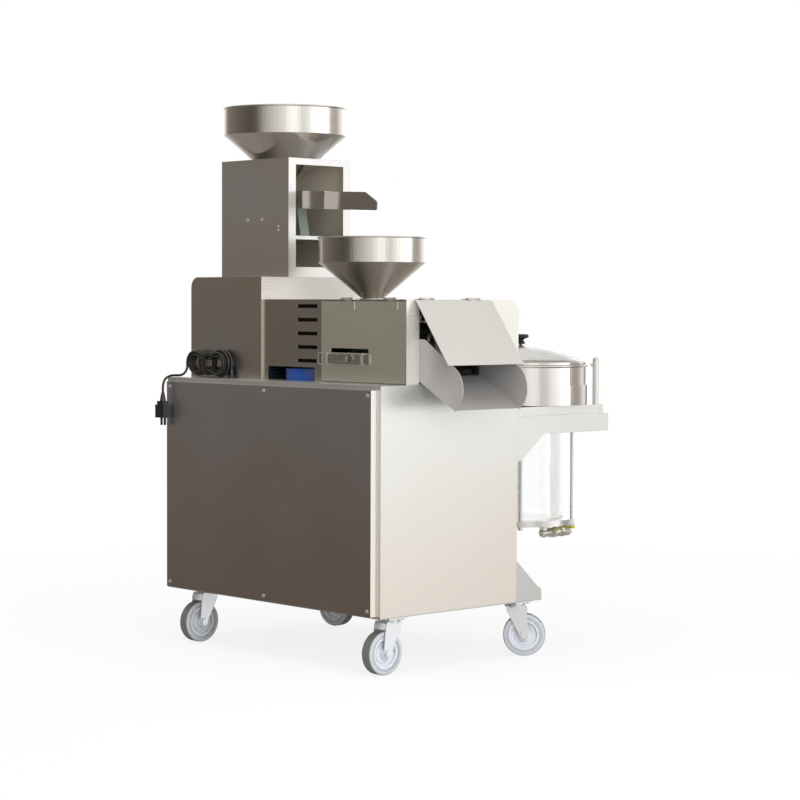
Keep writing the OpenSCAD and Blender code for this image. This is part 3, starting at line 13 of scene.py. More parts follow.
import bmesh
import bpy
import numpy as np
from mathutils import Matrix, Vector


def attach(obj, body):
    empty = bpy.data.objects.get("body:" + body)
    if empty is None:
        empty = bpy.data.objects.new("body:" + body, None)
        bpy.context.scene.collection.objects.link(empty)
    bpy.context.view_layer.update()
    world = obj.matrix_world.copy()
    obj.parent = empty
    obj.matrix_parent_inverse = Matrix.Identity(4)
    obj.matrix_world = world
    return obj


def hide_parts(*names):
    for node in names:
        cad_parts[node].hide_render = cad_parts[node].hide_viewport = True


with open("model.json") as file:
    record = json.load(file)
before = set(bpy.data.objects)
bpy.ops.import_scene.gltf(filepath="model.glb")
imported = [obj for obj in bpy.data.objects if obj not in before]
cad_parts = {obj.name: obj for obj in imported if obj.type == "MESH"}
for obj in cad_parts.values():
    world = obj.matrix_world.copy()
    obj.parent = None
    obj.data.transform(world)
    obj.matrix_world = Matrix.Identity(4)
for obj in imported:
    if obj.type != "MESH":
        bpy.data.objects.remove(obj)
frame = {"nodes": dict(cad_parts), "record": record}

# Short names for hints
Tree = bpy.types.NodeTree
Socket = bpy.types.NodeSocket
Piece = bpy.types.Object

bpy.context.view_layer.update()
log = logging.getLogger("oil_press")
# The row frame's origin in cabinet millimetres
ORIGIN_MM = np.array([63.75, 163.25, 0.0])
# Metres under which two points are one, and an edge has no length
MERGE = 1e-6
SLIVER = 1e-7
# Length of a streak in its own widths, on brushed and on spun sheet
BRUSHED_STREAK = 200.0
SPUN_STREAK = 40.0
# Clouds about 200 mm apart, which break up every finish
CLOUDS_PER_METRE = 5.0
# Least and greatest sum of the pattern and the clouds, each a noise about one half
NOISE_SUM = {"From Min": 0.6, "From Max": 1.4}
# Noise between which a sheet drifts from its own colour to its cool one
DRIFT = {"From Min": 0.25, "From Max": 0.75}
# Share of the cool colour at the foot and at the top of the fade, and what the clouds add to it
FILM = {"To Min": 0.15, "To Max": 0.65}
FILM_CLOUD = 0.2
# How far a tyre's face looks along its axle, from the dusty tread to the clean side
TREAD = {"From Min": 0.25, "From Max": 0.8, "To Min": 1.0, "To Max": 0.0}
# How far a rounded normal agrees with its face's own, from sound to fully worn
WORN = {"From Min": 0.99, "From Max": 0.85, "To Min": 0.0}
# What a warm wall takes from green and from blue
WARM_GREEN = 0.13
WARM_BLUE = 0.25
# Sines of the view's height over which the walls brighten and turn into the ceiling or the machine's top
WALL_RISE = {"From Min": -0.2, "From Max": 0.1, "To Min": 0.75, "To Max": 1.3}
TO_CEILING = {"From Min": 0.2, "From Max": 0.5}
TO_DECK = {"From Min": -0.2, "From Max": -0.42}
# Metres from the middle over which the floor's paint gives way to white
FLOOR_GLOW = {"From Min": 0.6, "From Max": 2.4, "To Min": 0.84, "To Max": 1.0}


def row(points_mm: Sequence) -> np.ndarray:
    """Turns cabinet millimetres into row-frame metres."""
    return (np.asarray(points_mm, float) - ORIGIN_MM) / 1000.0


def linear(code: str) -> tuple[float, float, float, float]:
    """Turns an sRGB hex colour into linear light.

    Args:
        code: six hex digits after a hash.

    Returns:
        Red, green, blue and a full alpha.
    """
    parts = [int(code[i:i + 2], 16) / 255.0 for i in (1, 3, 5)]
    light = [c / 12.92 if c <= 0.04045 else ((c + 0.055) / 1.055) ** 2.4 for c in parts]
    return (light[0], light[1], light[2], 1.0)


def add(tree: Tree, kind: str, inputs: Optional[dict] = None, **settings: object) -> bpy.types.Node:
    """Adds a node with its settings and links.

    Args:
        tree: the node tree.
        kind: the node's type name, without the ShaderNode that starts it.
        inputs: socket name or number to a value, or to the socket that feeds it.
        settings: properties of the node.

    Returns:
        The node.
    """
    node = tree.nodes.new("ShaderNode" + kind)
    for key, value in settings.items():
        setattr(node, key, value)
    for key, value in (inputs or {}).items():
        if isinstance(value, Socket):
            tree.links.new(value, node.inputs[key])
        else:
            node.inputs[key].default_value = value
    return node


class Grain(Enum):
    """How a surface was finished, which sets the pattern that it shows."""

    BRUSHED = "long streaks that run level round the sheet"
    SPUN = "upright streaks left by the buffing wheel"
    PLAIN = "soft clouding of a plated or drawn surface"
    CAST = "rounded lumps of sand casting under paint"
    MOULDED = "fine even pebble of a mould"
    CLEAR = "next to no pattern"


@dataclass(frozen=True)
class Finish:
    """A real material and how its surface was made.

    The pattern has the grain's width and depth in millimetres. It moves the roughness by the spread and the
    colour by the tint. Edges are rounded by edge_mm and worn by the share rubbed, down to the colour rub. A
    tyre has a colour for its tread and the direction of its axle. A sheet with a cool colour drifts to it in
    clouds, or rises into it between the two heights of film_mm, staying warmer and a little darker below. A
    zone is a box, by two corners in cabinet millimetres, where light and shade are painted with a colour and
    a metallic of its own.
    """

    name: str
    colour: str
    metallic: float = 0.0
    roughness: float = 0.5
    spread: float = 0.08
    grain: Grain = Grain.MOULDED
    grain_mm: float = 2.0
    depth_mm: float = 0.05
    tint: float = 0.06
    edge_mm: float = 0.8
    clear: float = 0.0
    ior: Optional[float] = None
    coat: float = 0.0
    turned: float = 0.0
    rubbed: float = 0.0
    rub: str = "#E9E7E3"
    alpha: float = 1.0
    tread: Optional[str] = None
    axle: tuple[float, float, float] = (1.0, 0.0, 0.0)
    cool: Optional[str] = None
    film_mm: Optional[tuple[float, float]] = None
    zone: Optional[tuple] = None
    # A zone's painted light and shade: its colour here, then its metallic and the softness of its edge
    zone_colour: str = "#FFFFFF"
    zone_metallic: float = 0.0
    zone_edge: float = 0.001

    def scale(self) -> tuple[float, float, float]:
        """Works out how fine the pattern is.

        Returns:
            Cycles per metre along X, Y and Z.
        """
        fine = 1000.0 / self.grain_mm
        if self.grain is Grain.BRUSHED:
            return (fine / BRUSHED_STREAK, fine / BRUSHED_STREAK, fine)
        if self.grain is Grain.SPUN:
            return (fine, fine, fine / SPUN_STREAK)
        return (fine, fine, fine)

    def material(self) -> bpy.types.Material:
        """Makes the finish once.

        Returns:
            A material whose colour, roughness and normal all follow one pattern.
        """
        found = bpy.data.materials.get(self.name)
        if found:
            return found
        mat = bpy.data.materials.new(self.name)
        mat.use_nodes = True
        tree = mat.node_tree
        tree.nodes.clear()
        place = add(tree, "TexCoord")
        point = place.outputs["Object"]
        turn = add(tree, "Mapping", {"Vector": point, "Scale": self.scale()})
        pattern = add(tree, "TexNoise", {"Vector": turn.outputs["Vector"], "Scale": 1.0,
            "Detail": 3.0, "Roughness": 0.6})
        wide = add(tree, "TexNoise", {"Vector": point, "Scale": CLOUDS_PER_METRE, "Detail": 1.0})
        cloud = wide.outputs["Fac"]
        both = add(tree, "Math", {0: pattern.outputs["Fac"], 1: cloud}, operation="ADD")
        shade = add(tree, "MapRange", {"Value": both.outputs[0], **NOISE_SUM,
            "To Min": 1.0 - self.tint, "To Max": 1.0 + self.tint})
        base = self.drifted(tree, point, cloud) if self.cool else linear(self.colour)[:3]
        colour = add(tree, "VectorMath", {0: base, "Scale": shade.outputs[0]},
            operation="SCALE").outputs["Vector"]
        rough = add(tree, "MapRange", {"Value": both.outputs[0], **NOISE_SUM,
            "To Min": self.roughness - self.spread, "To Max": self.roughness + self.spread})
        edge = add(tree, "Bevel", {"Radius": self.edge_mm / 1000.0}, samples=4)
        if self.tread:
            colour = self.road_dust(tree, place.outputs["Normal"], colour)
        if self.rubbed:
            colour = self.rubbed_edges(tree, edge.outputs["Normal"], cloud, colour)
        bump = add(tree, "Bump", {"Height": pattern.outputs["Fac"], "Strength": 1.0,
            "Distance": self.depth_mm / 1000.0, "Normal": edge.outputs["Normal"]})
        metallic = self.metallic
        # Paint light and shade in the zone: its own colour and metallic inside the box
        if self.zone:
            outer = self.outside_zone(tree, point)
            metallic = add(tree, "Math", {0: outer, 1: self.metallic - self.zone_metallic,
                2: self.zone_metallic}, operation="MULTIPLY_ADD").outputs[0]
            colour = add(tree, "Mix", {0: outer, 6: linear(self.zone_colour), 7: colour},
                data_type="RGBA").outputs[2]
        inputs = {"Base Color": colour, "Roughness": rough.outputs[0], "Metallic": metallic,
            "Normal": bump.outputs["Normal"], "Transmission Weight": self.clear,
            "Coat Weight": self.coat, "Anisotropic": self.turned, "Alpha": self.alpha}
        if self.ior:
            inputs["IOR"] = self.ior
        shader = add(tree, "BsdfPrincipled", inputs)
        if self.turned:
            ring = add(tree, "Tangent", direction_type="RADIAL", axis="Z")
            tree.links.new(ring.outputs[0], shader.inputs["Tangent"])
        add(tree, "OutputMaterial", {"Surface": shader.outputs[0]})
        return mat

    def drifted(self, tree: Tree, place: Socket, cloud: Socket) -> Socket:
        """Drifts from the sheet's own colour to its cool one.

        Args:
            tree: the material's nodes.
            place: the point on the piece.
            cloud: a wide pattern about one half.

        Returns:
            The colour, in clouds or rising with height.
        """
        clean = self.above_film(tree, place, cloud) if self.film_mm else cloud
        share = add(tree, "MapRange", {"Value": clean, **DRIFT}, interpolation_type="SMOOTHSTEP")
        mix = add(tree, "Mix", {0: share.outputs[0], 6: linear(self.colour), 7: linear(self.cool)},
            data_type="RGBA")
        return mix.outputs[2]

    def above_film(self, tree: Tree, place: Socket, cloud: Socket) -> Socket:
        """Shares out the cool colour by height, so that the sheet keeps its own warmer colour towards the
        floor.

        Args:
            tree: the material's nodes.
            place: the point on the piece.
            cloud: a wide pattern about one half, which breaks up the change.

        Returns:
            The share of the cool colour, which rises evenly between the two heights.
        """
        low, high = (z / 1000.0 for z in self.film_mm)
        height = add(tree, "SeparateXYZ", {0: place})
        rise = add(tree, "MapRange", {"Value": height.outputs["Z"], "From Min": low,
            "From Max": high, **FILM})
        return add(tree, "Math", {0: cloud, 1: FILM_CLOUD, 2: rise.outputs[0]},
            operation="MULTIPLY_ADD").outputs[0]

    def outside_zone(self, tree: Tree, place: Socket) -> Socket:
        """Tells a box-shaped zone, where light and shade are painted, from the rest of the piece.

        A point is inside where its distance from the zone's middle is under half the zone's size on all axes.

        Args:
            tree: the material's nodes.
            place: the point on the piece.

        Returns:
            0 inside the zone and 1 outside it.
        """
        low, high = row(self.zone[0]), row(self.zone[1])
        off = add(tree, "VectorMath", {0: place, 1: tuple((low + high) / 2)}, operation="SUBTRACT")
        part = add(tree, "VectorMath", {0: off.outputs[0], 1: tuple((high - low) / 2)}, operation="DIVIDE")
        size = add(tree, "VectorMath", {0: part.outputs[0]}, operation="ABSOLUTE")
        axes = add(tree, "SeparateXYZ", {0: size.outputs[0]})
        flat = add(tree, "Math", {0: axes.outputs["X"], 1: axes.outputs["Y"]}, operation="MAXIMUM")
        most = add(tree, "Math", {0: flat.outputs[0], 1: axes.outputs["Z"]}, operation="MAXIMUM")
        side = add(tree, "MapRange", {"Value": most.outputs[0], "From Min": 1.0 - self.zone_edge,
            "From Max": 1.0 + self.zone_edge})
        return side.outputs[0]

    def road_dust(self, tree: Tree, normal: Socket, colour: Socket) -> Socket:
        """Darkens a tyre where it faces away from its axle.

        Args:
            tree: the material's nodes.
            normal: the surface's direction in the piece's own frame.
            colour: the clean colour.

        Returns:
            The colour with the tread's share of dust.
        """
        along = add(tree, "VectorMath", {0: normal, 1: self.axle}, operation="DOT_PRODUCT")
        side = add(tree, "Math", {0: along.outputs["Value"]}, operation="ABSOLUTE")
        share = add(tree, "MapRange", {"Value": side.outputs[0], **TREAD})
        mix = add(tree, "Mix", {0: share.outputs[0], 6: colour, 7: linear(self.tread)},
            data_type="RGBA")
        return mix.outputs[2]

    def rubbed_edges(self, tree: Tree, rounded: Socket, cloud: Socket, colour: Socket) -> Socket:
        """Wears the finish through along edges, which is where the rounded normal leaves the face's own.

        Args:
            tree: the material's nodes.
            rounded: the normal with its edges rounded.
            cloud: a wide pattern that breaks up the wear.
            colour: the colour away from edges.

        Returns:
            The colour with its worn edges.
        """
        face = add(tree, "NewGeometry")
        same = add(tree, "VectorMath", {0: rounded, 1: face.outputs["Normal"]}, operation="DOT_PRODUCT")
        worn = add(tree, "MapRange", {"Value": same.outputs["Value"], **WORN, "To Max": self.rubbed})
        patchy = add(tree, "Math", {0: worn.outputs[0], 1: cloud}, operation="MULTIPLY", use_clamp=True)
        mix = add(tree, "Mix", {0: patchy.outputs[0], 6: colour, 7: linear(self.rub)},
            data_type="RGBA")
        return mix.outputs[2]


# Stainless sheet, AISI 304, brushed along its length: a grey mirror drawn out upwards. Streaks are a tenth of
# a millimetre wide on the real sheet and are drawn coarser here so that they show.
BRUSHED_SHEET = Finish("brushed_304_sheet", "#D6D0C9", metallic=1.0, roughness=0.30, spread=0.035,
    grain=Grain.BRUSHED, grain_mm=2.0, depth_mm=0.002, tint=0.025, edge_mm=0.9, turned=0.5, cool="#CFCFD0")
# The same sheet where goods and hands meet it: scuffed, so that it also scatters light, and warmer and a
# little darker towards the floor.
SCUFFED_SHEET = replace(BRUSHED_SHEET, name="scuffed_304_sheet", colour="#D5CEC5", cool="#D4D5D1",
    film_mm=(180.0, 600.0), metallic=0.74, roughness=0.32, rubbed=0.5)
# The floor pan and the front foot, left as the mill rolled them: the same sheet, greyer.
BARE_SHEET = replace(SCUFFED_SHEET, name="bare_304_sheet", colour="#BFBEBB", cool=None, film_mm=None)
# The flap's sheet, wiped clean: the same scuffs on a cooler grey.
WIPED_SHEET = replace(BARE_SHEET, name="wiped_304_sheet", colour="#CFCFCB", metallic=0.55, tint=0.01)
# The tower's sheet, brushed outside; its shaded inside is painted pale cream and matt, painted light that
# lifts the shade there.
ROLLED_SHEET = replace(BRUSHED_SHEET, name="rolled_304_sheet", metallic=0.92, roughness=0.32,
    zone=((-373.25, -59.25, 880.0), (-115.75, 136.25, 1184.25)), zone_colour="#F6EEE0")
# The rear panel's tray, the press housing and the control box: brushed, with the right end painted pale and
# matt, a painted highlight for the light that falls on that side.
TRAY_SHEET = replace(BRUSHED_SHEET, name="edge_ground_304_tray", colour="#D4CAC1", cool="#D8D9E0",
    film_mm=(180.0, 620.0), zone=((373.4, -231.4, 130.0), (375.0, -216.0, 645.0)), zone_colour="#E3E0DA")
HOUSING_SHEET = replace(BRUSHED_SHEET, name="edge_ground_304_housing", colour="#CBC4BB", cool="#C5C5C5",
    zone=((388.4, -139.4, 640.0), (390.0, 221.0, 845.0)), zone_colour="#DDDAD3", zone_metallic=0.4)
BOX_SHEET = replace(BRUSHED_SHEET, name="edge_ground_304_box",
    zone=((-115.6, -144.4, 842.0), (-114.0, 221.0, 897.0)), zone_colour="#EBE7DE", zone_metallic=0.25)
# The door's sheet, rubbed by hands: paler, duller and a little green from its film of oil.
HANDLED_SHEET = replace(BRUSHED_SHEET, name="handled_304_sheet", colour="#DAD8CB", cool=None, metallic=0.84,
    roughness=0.38, tint=0.04, turned=0.4)
# Pickled 304 of the outlet and the oil tray: matt and grey, with no direction.
PICKLED_SHEET = Finish("pickled_304_sheet", "#C0BEBD", metallic=0.45, roughness=0.38, spread=0.05,
    grain=Grain.PLAIN, grain_mm=6.0, depth_mm=0.004, tint=0.03, edge_mm=0.7, rubbed=0.6)
# Spun and buffed 304: bright, with upright streaks where the wheel crossed the rings.
SPUN_SHEET = Finish("spun_304_hopper", "#D0CDC8", metallic=1.0, roughness=0.12, spread=0.03,
    grain=Grain.SPUN, grain_mm=4.5, depth_mm=0.25, tint=0.04, edge_mm=0.7, turned=0.5)
# Turned and rolled fasteners in 304: plain satin metal.
FASTENER = Finish("drawn_304_fastener", "#CFCDCA", metallic=1.0, roughness=0.28, spread=0.05,
    grain=Grain.PLAIN, grain_mm=8.0, depth_mm=0.003, tint=0.04, edge_mm=0.4)
# Nickel plate on the valve's brass: bright and faintly yellow.
NICKEL = Finish("nickel_plated_brass", "#E2DFD6", metallic=0.6, roughness=0.24, spread=0.05,
    grain=Grain.PLAIN, grain_mm=9.0, depth_mm=0.003, tint=0.04, edge_mm=0.5)
# Bright zinc plate on pressed steel: cool, clouded, fairly sharp.
ZINC = Finish("zinc_plated_pressing", "#DDDFE2", metallic=0.65, roughness=0.32, spread=0.06,
    grain=Grain.PLAIN, grain_mm=12.0, depth_mm=0.006, edge_mm=0.7)
# Grey thermoplastic rubber of the tyres: matt with a soft bloom, and dark with dust on the tread.
TYRE = Finish("grey_tpr_tyre", "#C6CBD2", roughness=0.55, grain_mm=1.6, tint=0.05, edge_mm=0.6,
    tread="#6E7170")
# Moulded polypropylene of the hubs: pale, satin.
HUB = Finish("grey_pp_hub", "#E4E8EF", roughness=0.42, spread=0.06, grain_mm=1.2, depth_mm=0.03, tint=0.03,
    edge_mm=0.6)
# Epoxy and glass laminate of the leaf springs: dull, pale green.
LAMINATE = Finish("glass_laminate_spring", "#E2F2EC", roughness=0.45, grain=Grain.BRUSHED, grain_mm=1.5,
    depth_mm=0.02, tint=0.08, edge_mm=0.3)
# Varnished copper winding and iron of the vibrator: brown under a clear gloss.
VARNISH = Finish("varnished_coil", "#5A3A26", roughness=0.35, grain=Grain.CAST, grain_mm=3.0, depth_mm=0.1,
    tint=0.12, edge_mm=0.5, coat=0.5)
# Blue enamel on cast iron: glossy with soft lumps under the paint.
BLUE_ENAMEL = Finish("blue_enamel_casting", "#1F4FA8", roughness=0.32, spread=0.06, grain=Grain.CAST,
    grain_mm=5.0, depth_mm=0.12, tint=0.08, edge_mm=0.9, coat=0.3, rubbed=0.7, rub="#7C93BF")
# The same enamel on the reducer, painted near black above the deck: painted shade that keeps the drive dark
# inside the housing.
OILY_ENAMEL = replace(BLUE_ENAMEL, name="oily_enamel_casting",
    zone=((-110.0, -160.0, 697.0), (90.0, 90.0, 880.0)), zone_colour="#151619", zone_edge=0.12)
# Machined alloy steel of the barrel and worm: darker than the sheet, with fine tool marks.
MACHINED = Finish("machined_alloy_steel", "#B4B3B2", metallic=1.0, roughness=0.30, spread=0.07,
    grain=Grain.PLAIN, depth_mm=0.02, edge_mm=0.5)
# Steel-clad mica heater: warm, heat-tinted.
MICA = Finish("heat_tinted_band", "#BBA98C", metallic=1.0, roughness=0.38, grain=Grain.PLAIN, grain_mm=14.0,
    depth_mm=0.02, tint=0.12, edge_mm=0.5)
# Tempered glass of the lid, faintly green. Part of the light passes straight, as through any thin sheet.
GLASS = Finish("tempered_lid_glass", "#F9FCFB", roughness=0.03, spread=0.01, grain=Grain.CLEAR,
    grain_mm=40.0, depth_mm=0.0, tint=0.01, edge_mm=0.5, clear=1.0, ior=1.5, alpha=0.32)
# Cast acrylic of the collector: clear and colourless, a little softer than glass.
ACRYLIC = replace(GLASS, name="cast_acrylic_tube", colour="#FBFDFD", roughness=0.05, spread=0.02, ior=1.49)
# Phenolic and ABS knobs: near black, satin.
BLACK_PLASTIC = Finish("black_phenolic", "#1B1B1C", roughness=0.38, spread=0.06, grain_mm=0.9, depth_mm=0.03,
    tint=0.08, edge_mm=0.7)
# Powder coat on the front of the controls: pale, even and finely pebbled.
PANEL_GREY = Finish("grey_powder_coat", "#C3C5C7", roughness=0.48, spread=0.06, grain_mm=1.4, tint=0.03)
# PVC dip on the valve lever: thick, soft and satin.
YELLOW_DIP = Finish("yellow_pvc_dip", "#D6D23A", roughness=0.34, spread=0.05, grain_mm=2.5, tint=0.05)
# Polycarbonate push buttons: clean, glossy.
GREEN_CAP = Finish("green_polycarbonate", "#1F7A45", roughness=0.22, spread=0.04, grain_mm=1.0, depth_mm=0.01,
    tint=0.03, edge_mm=0.6)
RED_CAP = replace(GREEN_CAP, name="red_polycarbonate", colour="#B02020")
# Black stove enamel on the pump's aluminium casting: satin over soft lumps.
PUMP_ENAMEL = Finish("black_enamel_casting", "#262729", roughness=0.40, spread=0.07, grain=Grain.CAST,
    grain_mm=4.0, depth_mm=0.1, tint=0.08)
# PVC of the mains lead: black, with the gloss of a new sheath.
CORD_PVC = Finish("black_pvc_sheath", "#0C0C0D", roughness=0.2, spread=0.05, grain_mm=1.2, depth_mm=0.01,
    tint=0.10, edge_mm=0.4, coat=0.7)
# Smoked acrylic of the meter's window: black and sharp.
SMOKED = Finish("smoked_acrylic_window", "#101416", roughness=0.12, spread=0.02, grain=Grain.CLEAR,
    grain_mm=30.0, depth_mm=0.0, tint=0.02, edge_mm=0.3)
# A dead matt black sheet behind the vent slots: painted shade that keeps the drive dark, with a pebble at the
# spacing of a wire cloth's wires.
WIRE_CLOTH = Finish("black_wire_cloth", "#0C0A07", roughness=0.8, spread=0.1, grain_mm=1.5, depth_mm=0.3,
    tint=0.3, edge_mm=0.2, ior=1.15)
# Ink of the marks beside the dials: black and flat.
DIAL_INK = Finish("black_dial_ink", "#1E1F21", spread=0.05, grain_mm=0.6, depth_mm=0.01, tint=0.05,
    edge_mm=0.1)

# What each material slot of the record looks like
SLOT_FINISH: dict[str, Finish] = {
    "sheet_steel": BRUSHED_SHEET, "spun_steel": SPUN_SHEET, "fastener_steel": FASTENER, "zinc_steel": ZINC,
    "tyre_grey": TYRE, "hub_grey": HUB, "spring_sheet": LAMINATE, "coil_brown": VARNISH,
    "drive_blue": BLUE_ENAMEL, "press_steel": MACHINED, "mica_band": MICA, "lid_glass": GLASS,
    "tube_clear": ACRYLIC, "black_plastic": BLACK_PLASTIC, "panel_grey": PANEL_GREY,
    "lever_yellow": YELLOW_DIP, "start_green": GREEN_CAP, "stop_red": RED_CAP, "pump_black": PUMP_ENAMEL,
    "cord_black": CORD_PVC,
}
# Nodes that differ from the rest of their slot
NODE_FINISH: dict[str, Finish] = {
    "rear_panel": TRAY_SHEET, "press_housing": HOUSING_SHEET, "control_box": BOX_SHEET,
    "gear_reducer": OILY_ENAMEL, "rear_door": HANDLED_SHEET, "feeder_tower": ROLLED_SHEET,
    "cabinet_shell": SCUFFED_SHEET, "cabinet_base": BARE_SHEET, "drain_valve": NICKEL,
    "filter_shelf": SCUFFED_SHEET, "feeder_base": SCUFFED_SHEET, "cake_flap": WIPED_SHEET,
    "cake_chute": PICKLED_SHEET, "oil_tray": PICKLED_SHEET,
}


def make_piece(name: str, grids: np.ndarray, finish: Finish, body: str, closed: bool = False,
               crease: float = 35.0) -> Piece:
    """Makes a piece from a grid of points, or from several grids of one size.

    Every grid cell is one quad, and the last column joins the first. Points that meet at a pole are merged,
    and faces are turned outwards.

    Args:
        name: the piece's name.
        grids: points of shape (rows, columns, 3) or (grids, rows, columns, 3), in cabinet millimetres.
        finish: what the piece is made of.
        body: the body that the piece rides on.
        closed: whether the last row joins the first.
        crease: angle in degrees past which an edge stays sharp.

    Returns:
        The object, riding on its body.
    """
    points = row(grids).reshape(-1, 3)
    ids = np.arange(len(points)).reshape(-1, *grids.shape[-3:-1])
    near = ids if closed else ids[:, :-1]
    far = np.roll(ids, -1, 1) if closed else ids[:, 1:]
    faces = np.stack([near, far, np.roll(far, -1, 2), np.roll(near, -1, 2)], -1).reshape(-1, 4)
    mesh = bpy.data.meshes.new(name)
    mesh.from_pydata(points.tolist(), [], faces.tolist())
    work = bmesh.new()
    work.from_mesh(mesh)
    bmesh.ops.remove_doubles(work, verts=work.verts, dist=MERGE)
    bmesh.ops.dissolve_degenerate(work, edges=work.edges, dist=SLIVER)
    bmesh.ops.recalc_face_normals(work, faces=work.faces)
    work.to_mesh(mesh)
    work.free()
    mesh.shade_smooth()
    mesh.set_sharp_from_angle(angle=math.radians(crease))
    mesh.materials.append(finish.material())
    piece = bpy.data.objects.new(name, mesh)
    bpy.context.scene.collection.objects.link(piece)
    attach(piece, body)
    log.info("piece %s: %d faces on %s", name, len(mesh.polygons), body)
    return piece


def circle(steps: int) -> np.ndarray:
    """Even angles once round a circle."""
    return np.linspace(0, 2 * np.pi, steps, endpoint=False)


def squared(waves: np.ndarray, power: float) -> np.ndarray:
    """Raises sines or cosines to a power with their signs kept, which squares a circle as the power falls."""
    return np.sign(waves) * np.abs(waves) ** power


def plate(at: Sequence[float], half: tuple[float, float], thick: float, corner: float,
          crown: float = 0.0) -> np.ndarray:
    """Makes an upright plate with rounded corners, facing +Y.

    The outline is x = a cos(t)^k, z = b sin(t)^k with signs kept, for a small power k. Rings run from the
    middle of the back to its edge and from the edge of the front to its middle, which bulges by the crown
    times one less the fourth power of the share of the way out.

    Args:
        at: middle of the back in cabinet millimetres.
        half: half width along X and half height along Z.
        thick: thickness along Y.
        corner: the power k.
        crown: bulge of the front.

    Returns:
        Points of shape (rows, columns, 3) in cabinet millimetres.
    """
    columns, back_rows, front_rows = 96, 5, 12
    t = circle(columns)
    x = half[0] * squared(np.cos(t), corner)
    z = half[1] * squared(np.sin(t), corner)
    back = np.linspace(0, 1, back_rows)
    front = np.linspace(1, 0, front_rows)
    out = np.concatenate([back, front])[:, None]
    deep = np.concatenate([0 * back, thick + crown * (1 - front ** 4)])[:, None]
    return np.stack([at[0] + out * x, at[1] + deep + 0 * x, at[2] + out * z], -1)


@dataclass(frozen=True)
class Wall:
    """A mark on the room's walls: the light between two marks runs evenly from one to the other.

    The angle is in degrees round the room, the level is 1 for white, and the warmth is 0 for neutral light.
    """

    angle: float
    level: float
    warmth: float = 0.0

    def colour(self) -> tuple[float, float, float, float]:
        """Light of the mark: warmth takes some green away and about twice as much blue."""
        shares = (1.0, 1 - WARM_GREEN * self.warmth, 1 - WARM_BLUE * self.warmth)
        return (*(self.level * share for share in shares), 1.0)


@dataclass(frozen=True)
class Lamp:
    """A soft square lamp that metal doesn't mirror.

    The power is in watts and the side in metres. It hangs at one point and faces another.
    """

    name: str
    power: float
    side: float
    at: tuple[float, float, float]
    aim: tuple[float, float, float]

    def hang(self) -> None:
        """Puts the lamp into the scene with its Z axis away from what it lights."""
        data = bpy.data.lights.new(self.name, "AREA")
        data.energy = self.power
        data.size = self.side
        lamp = bpy.data.objects.new(self.name, data)
        bpy.context.scene.collection.objects.link(lamp)
        away = Vector(self.at) - Vector(self.aim)
        lamp.matrix_world = Matrix.Translation(self.at) @ away.to_track_quat("Z", "Y").to_matrix().to_4x4()
        lamp.visible_glossy = False


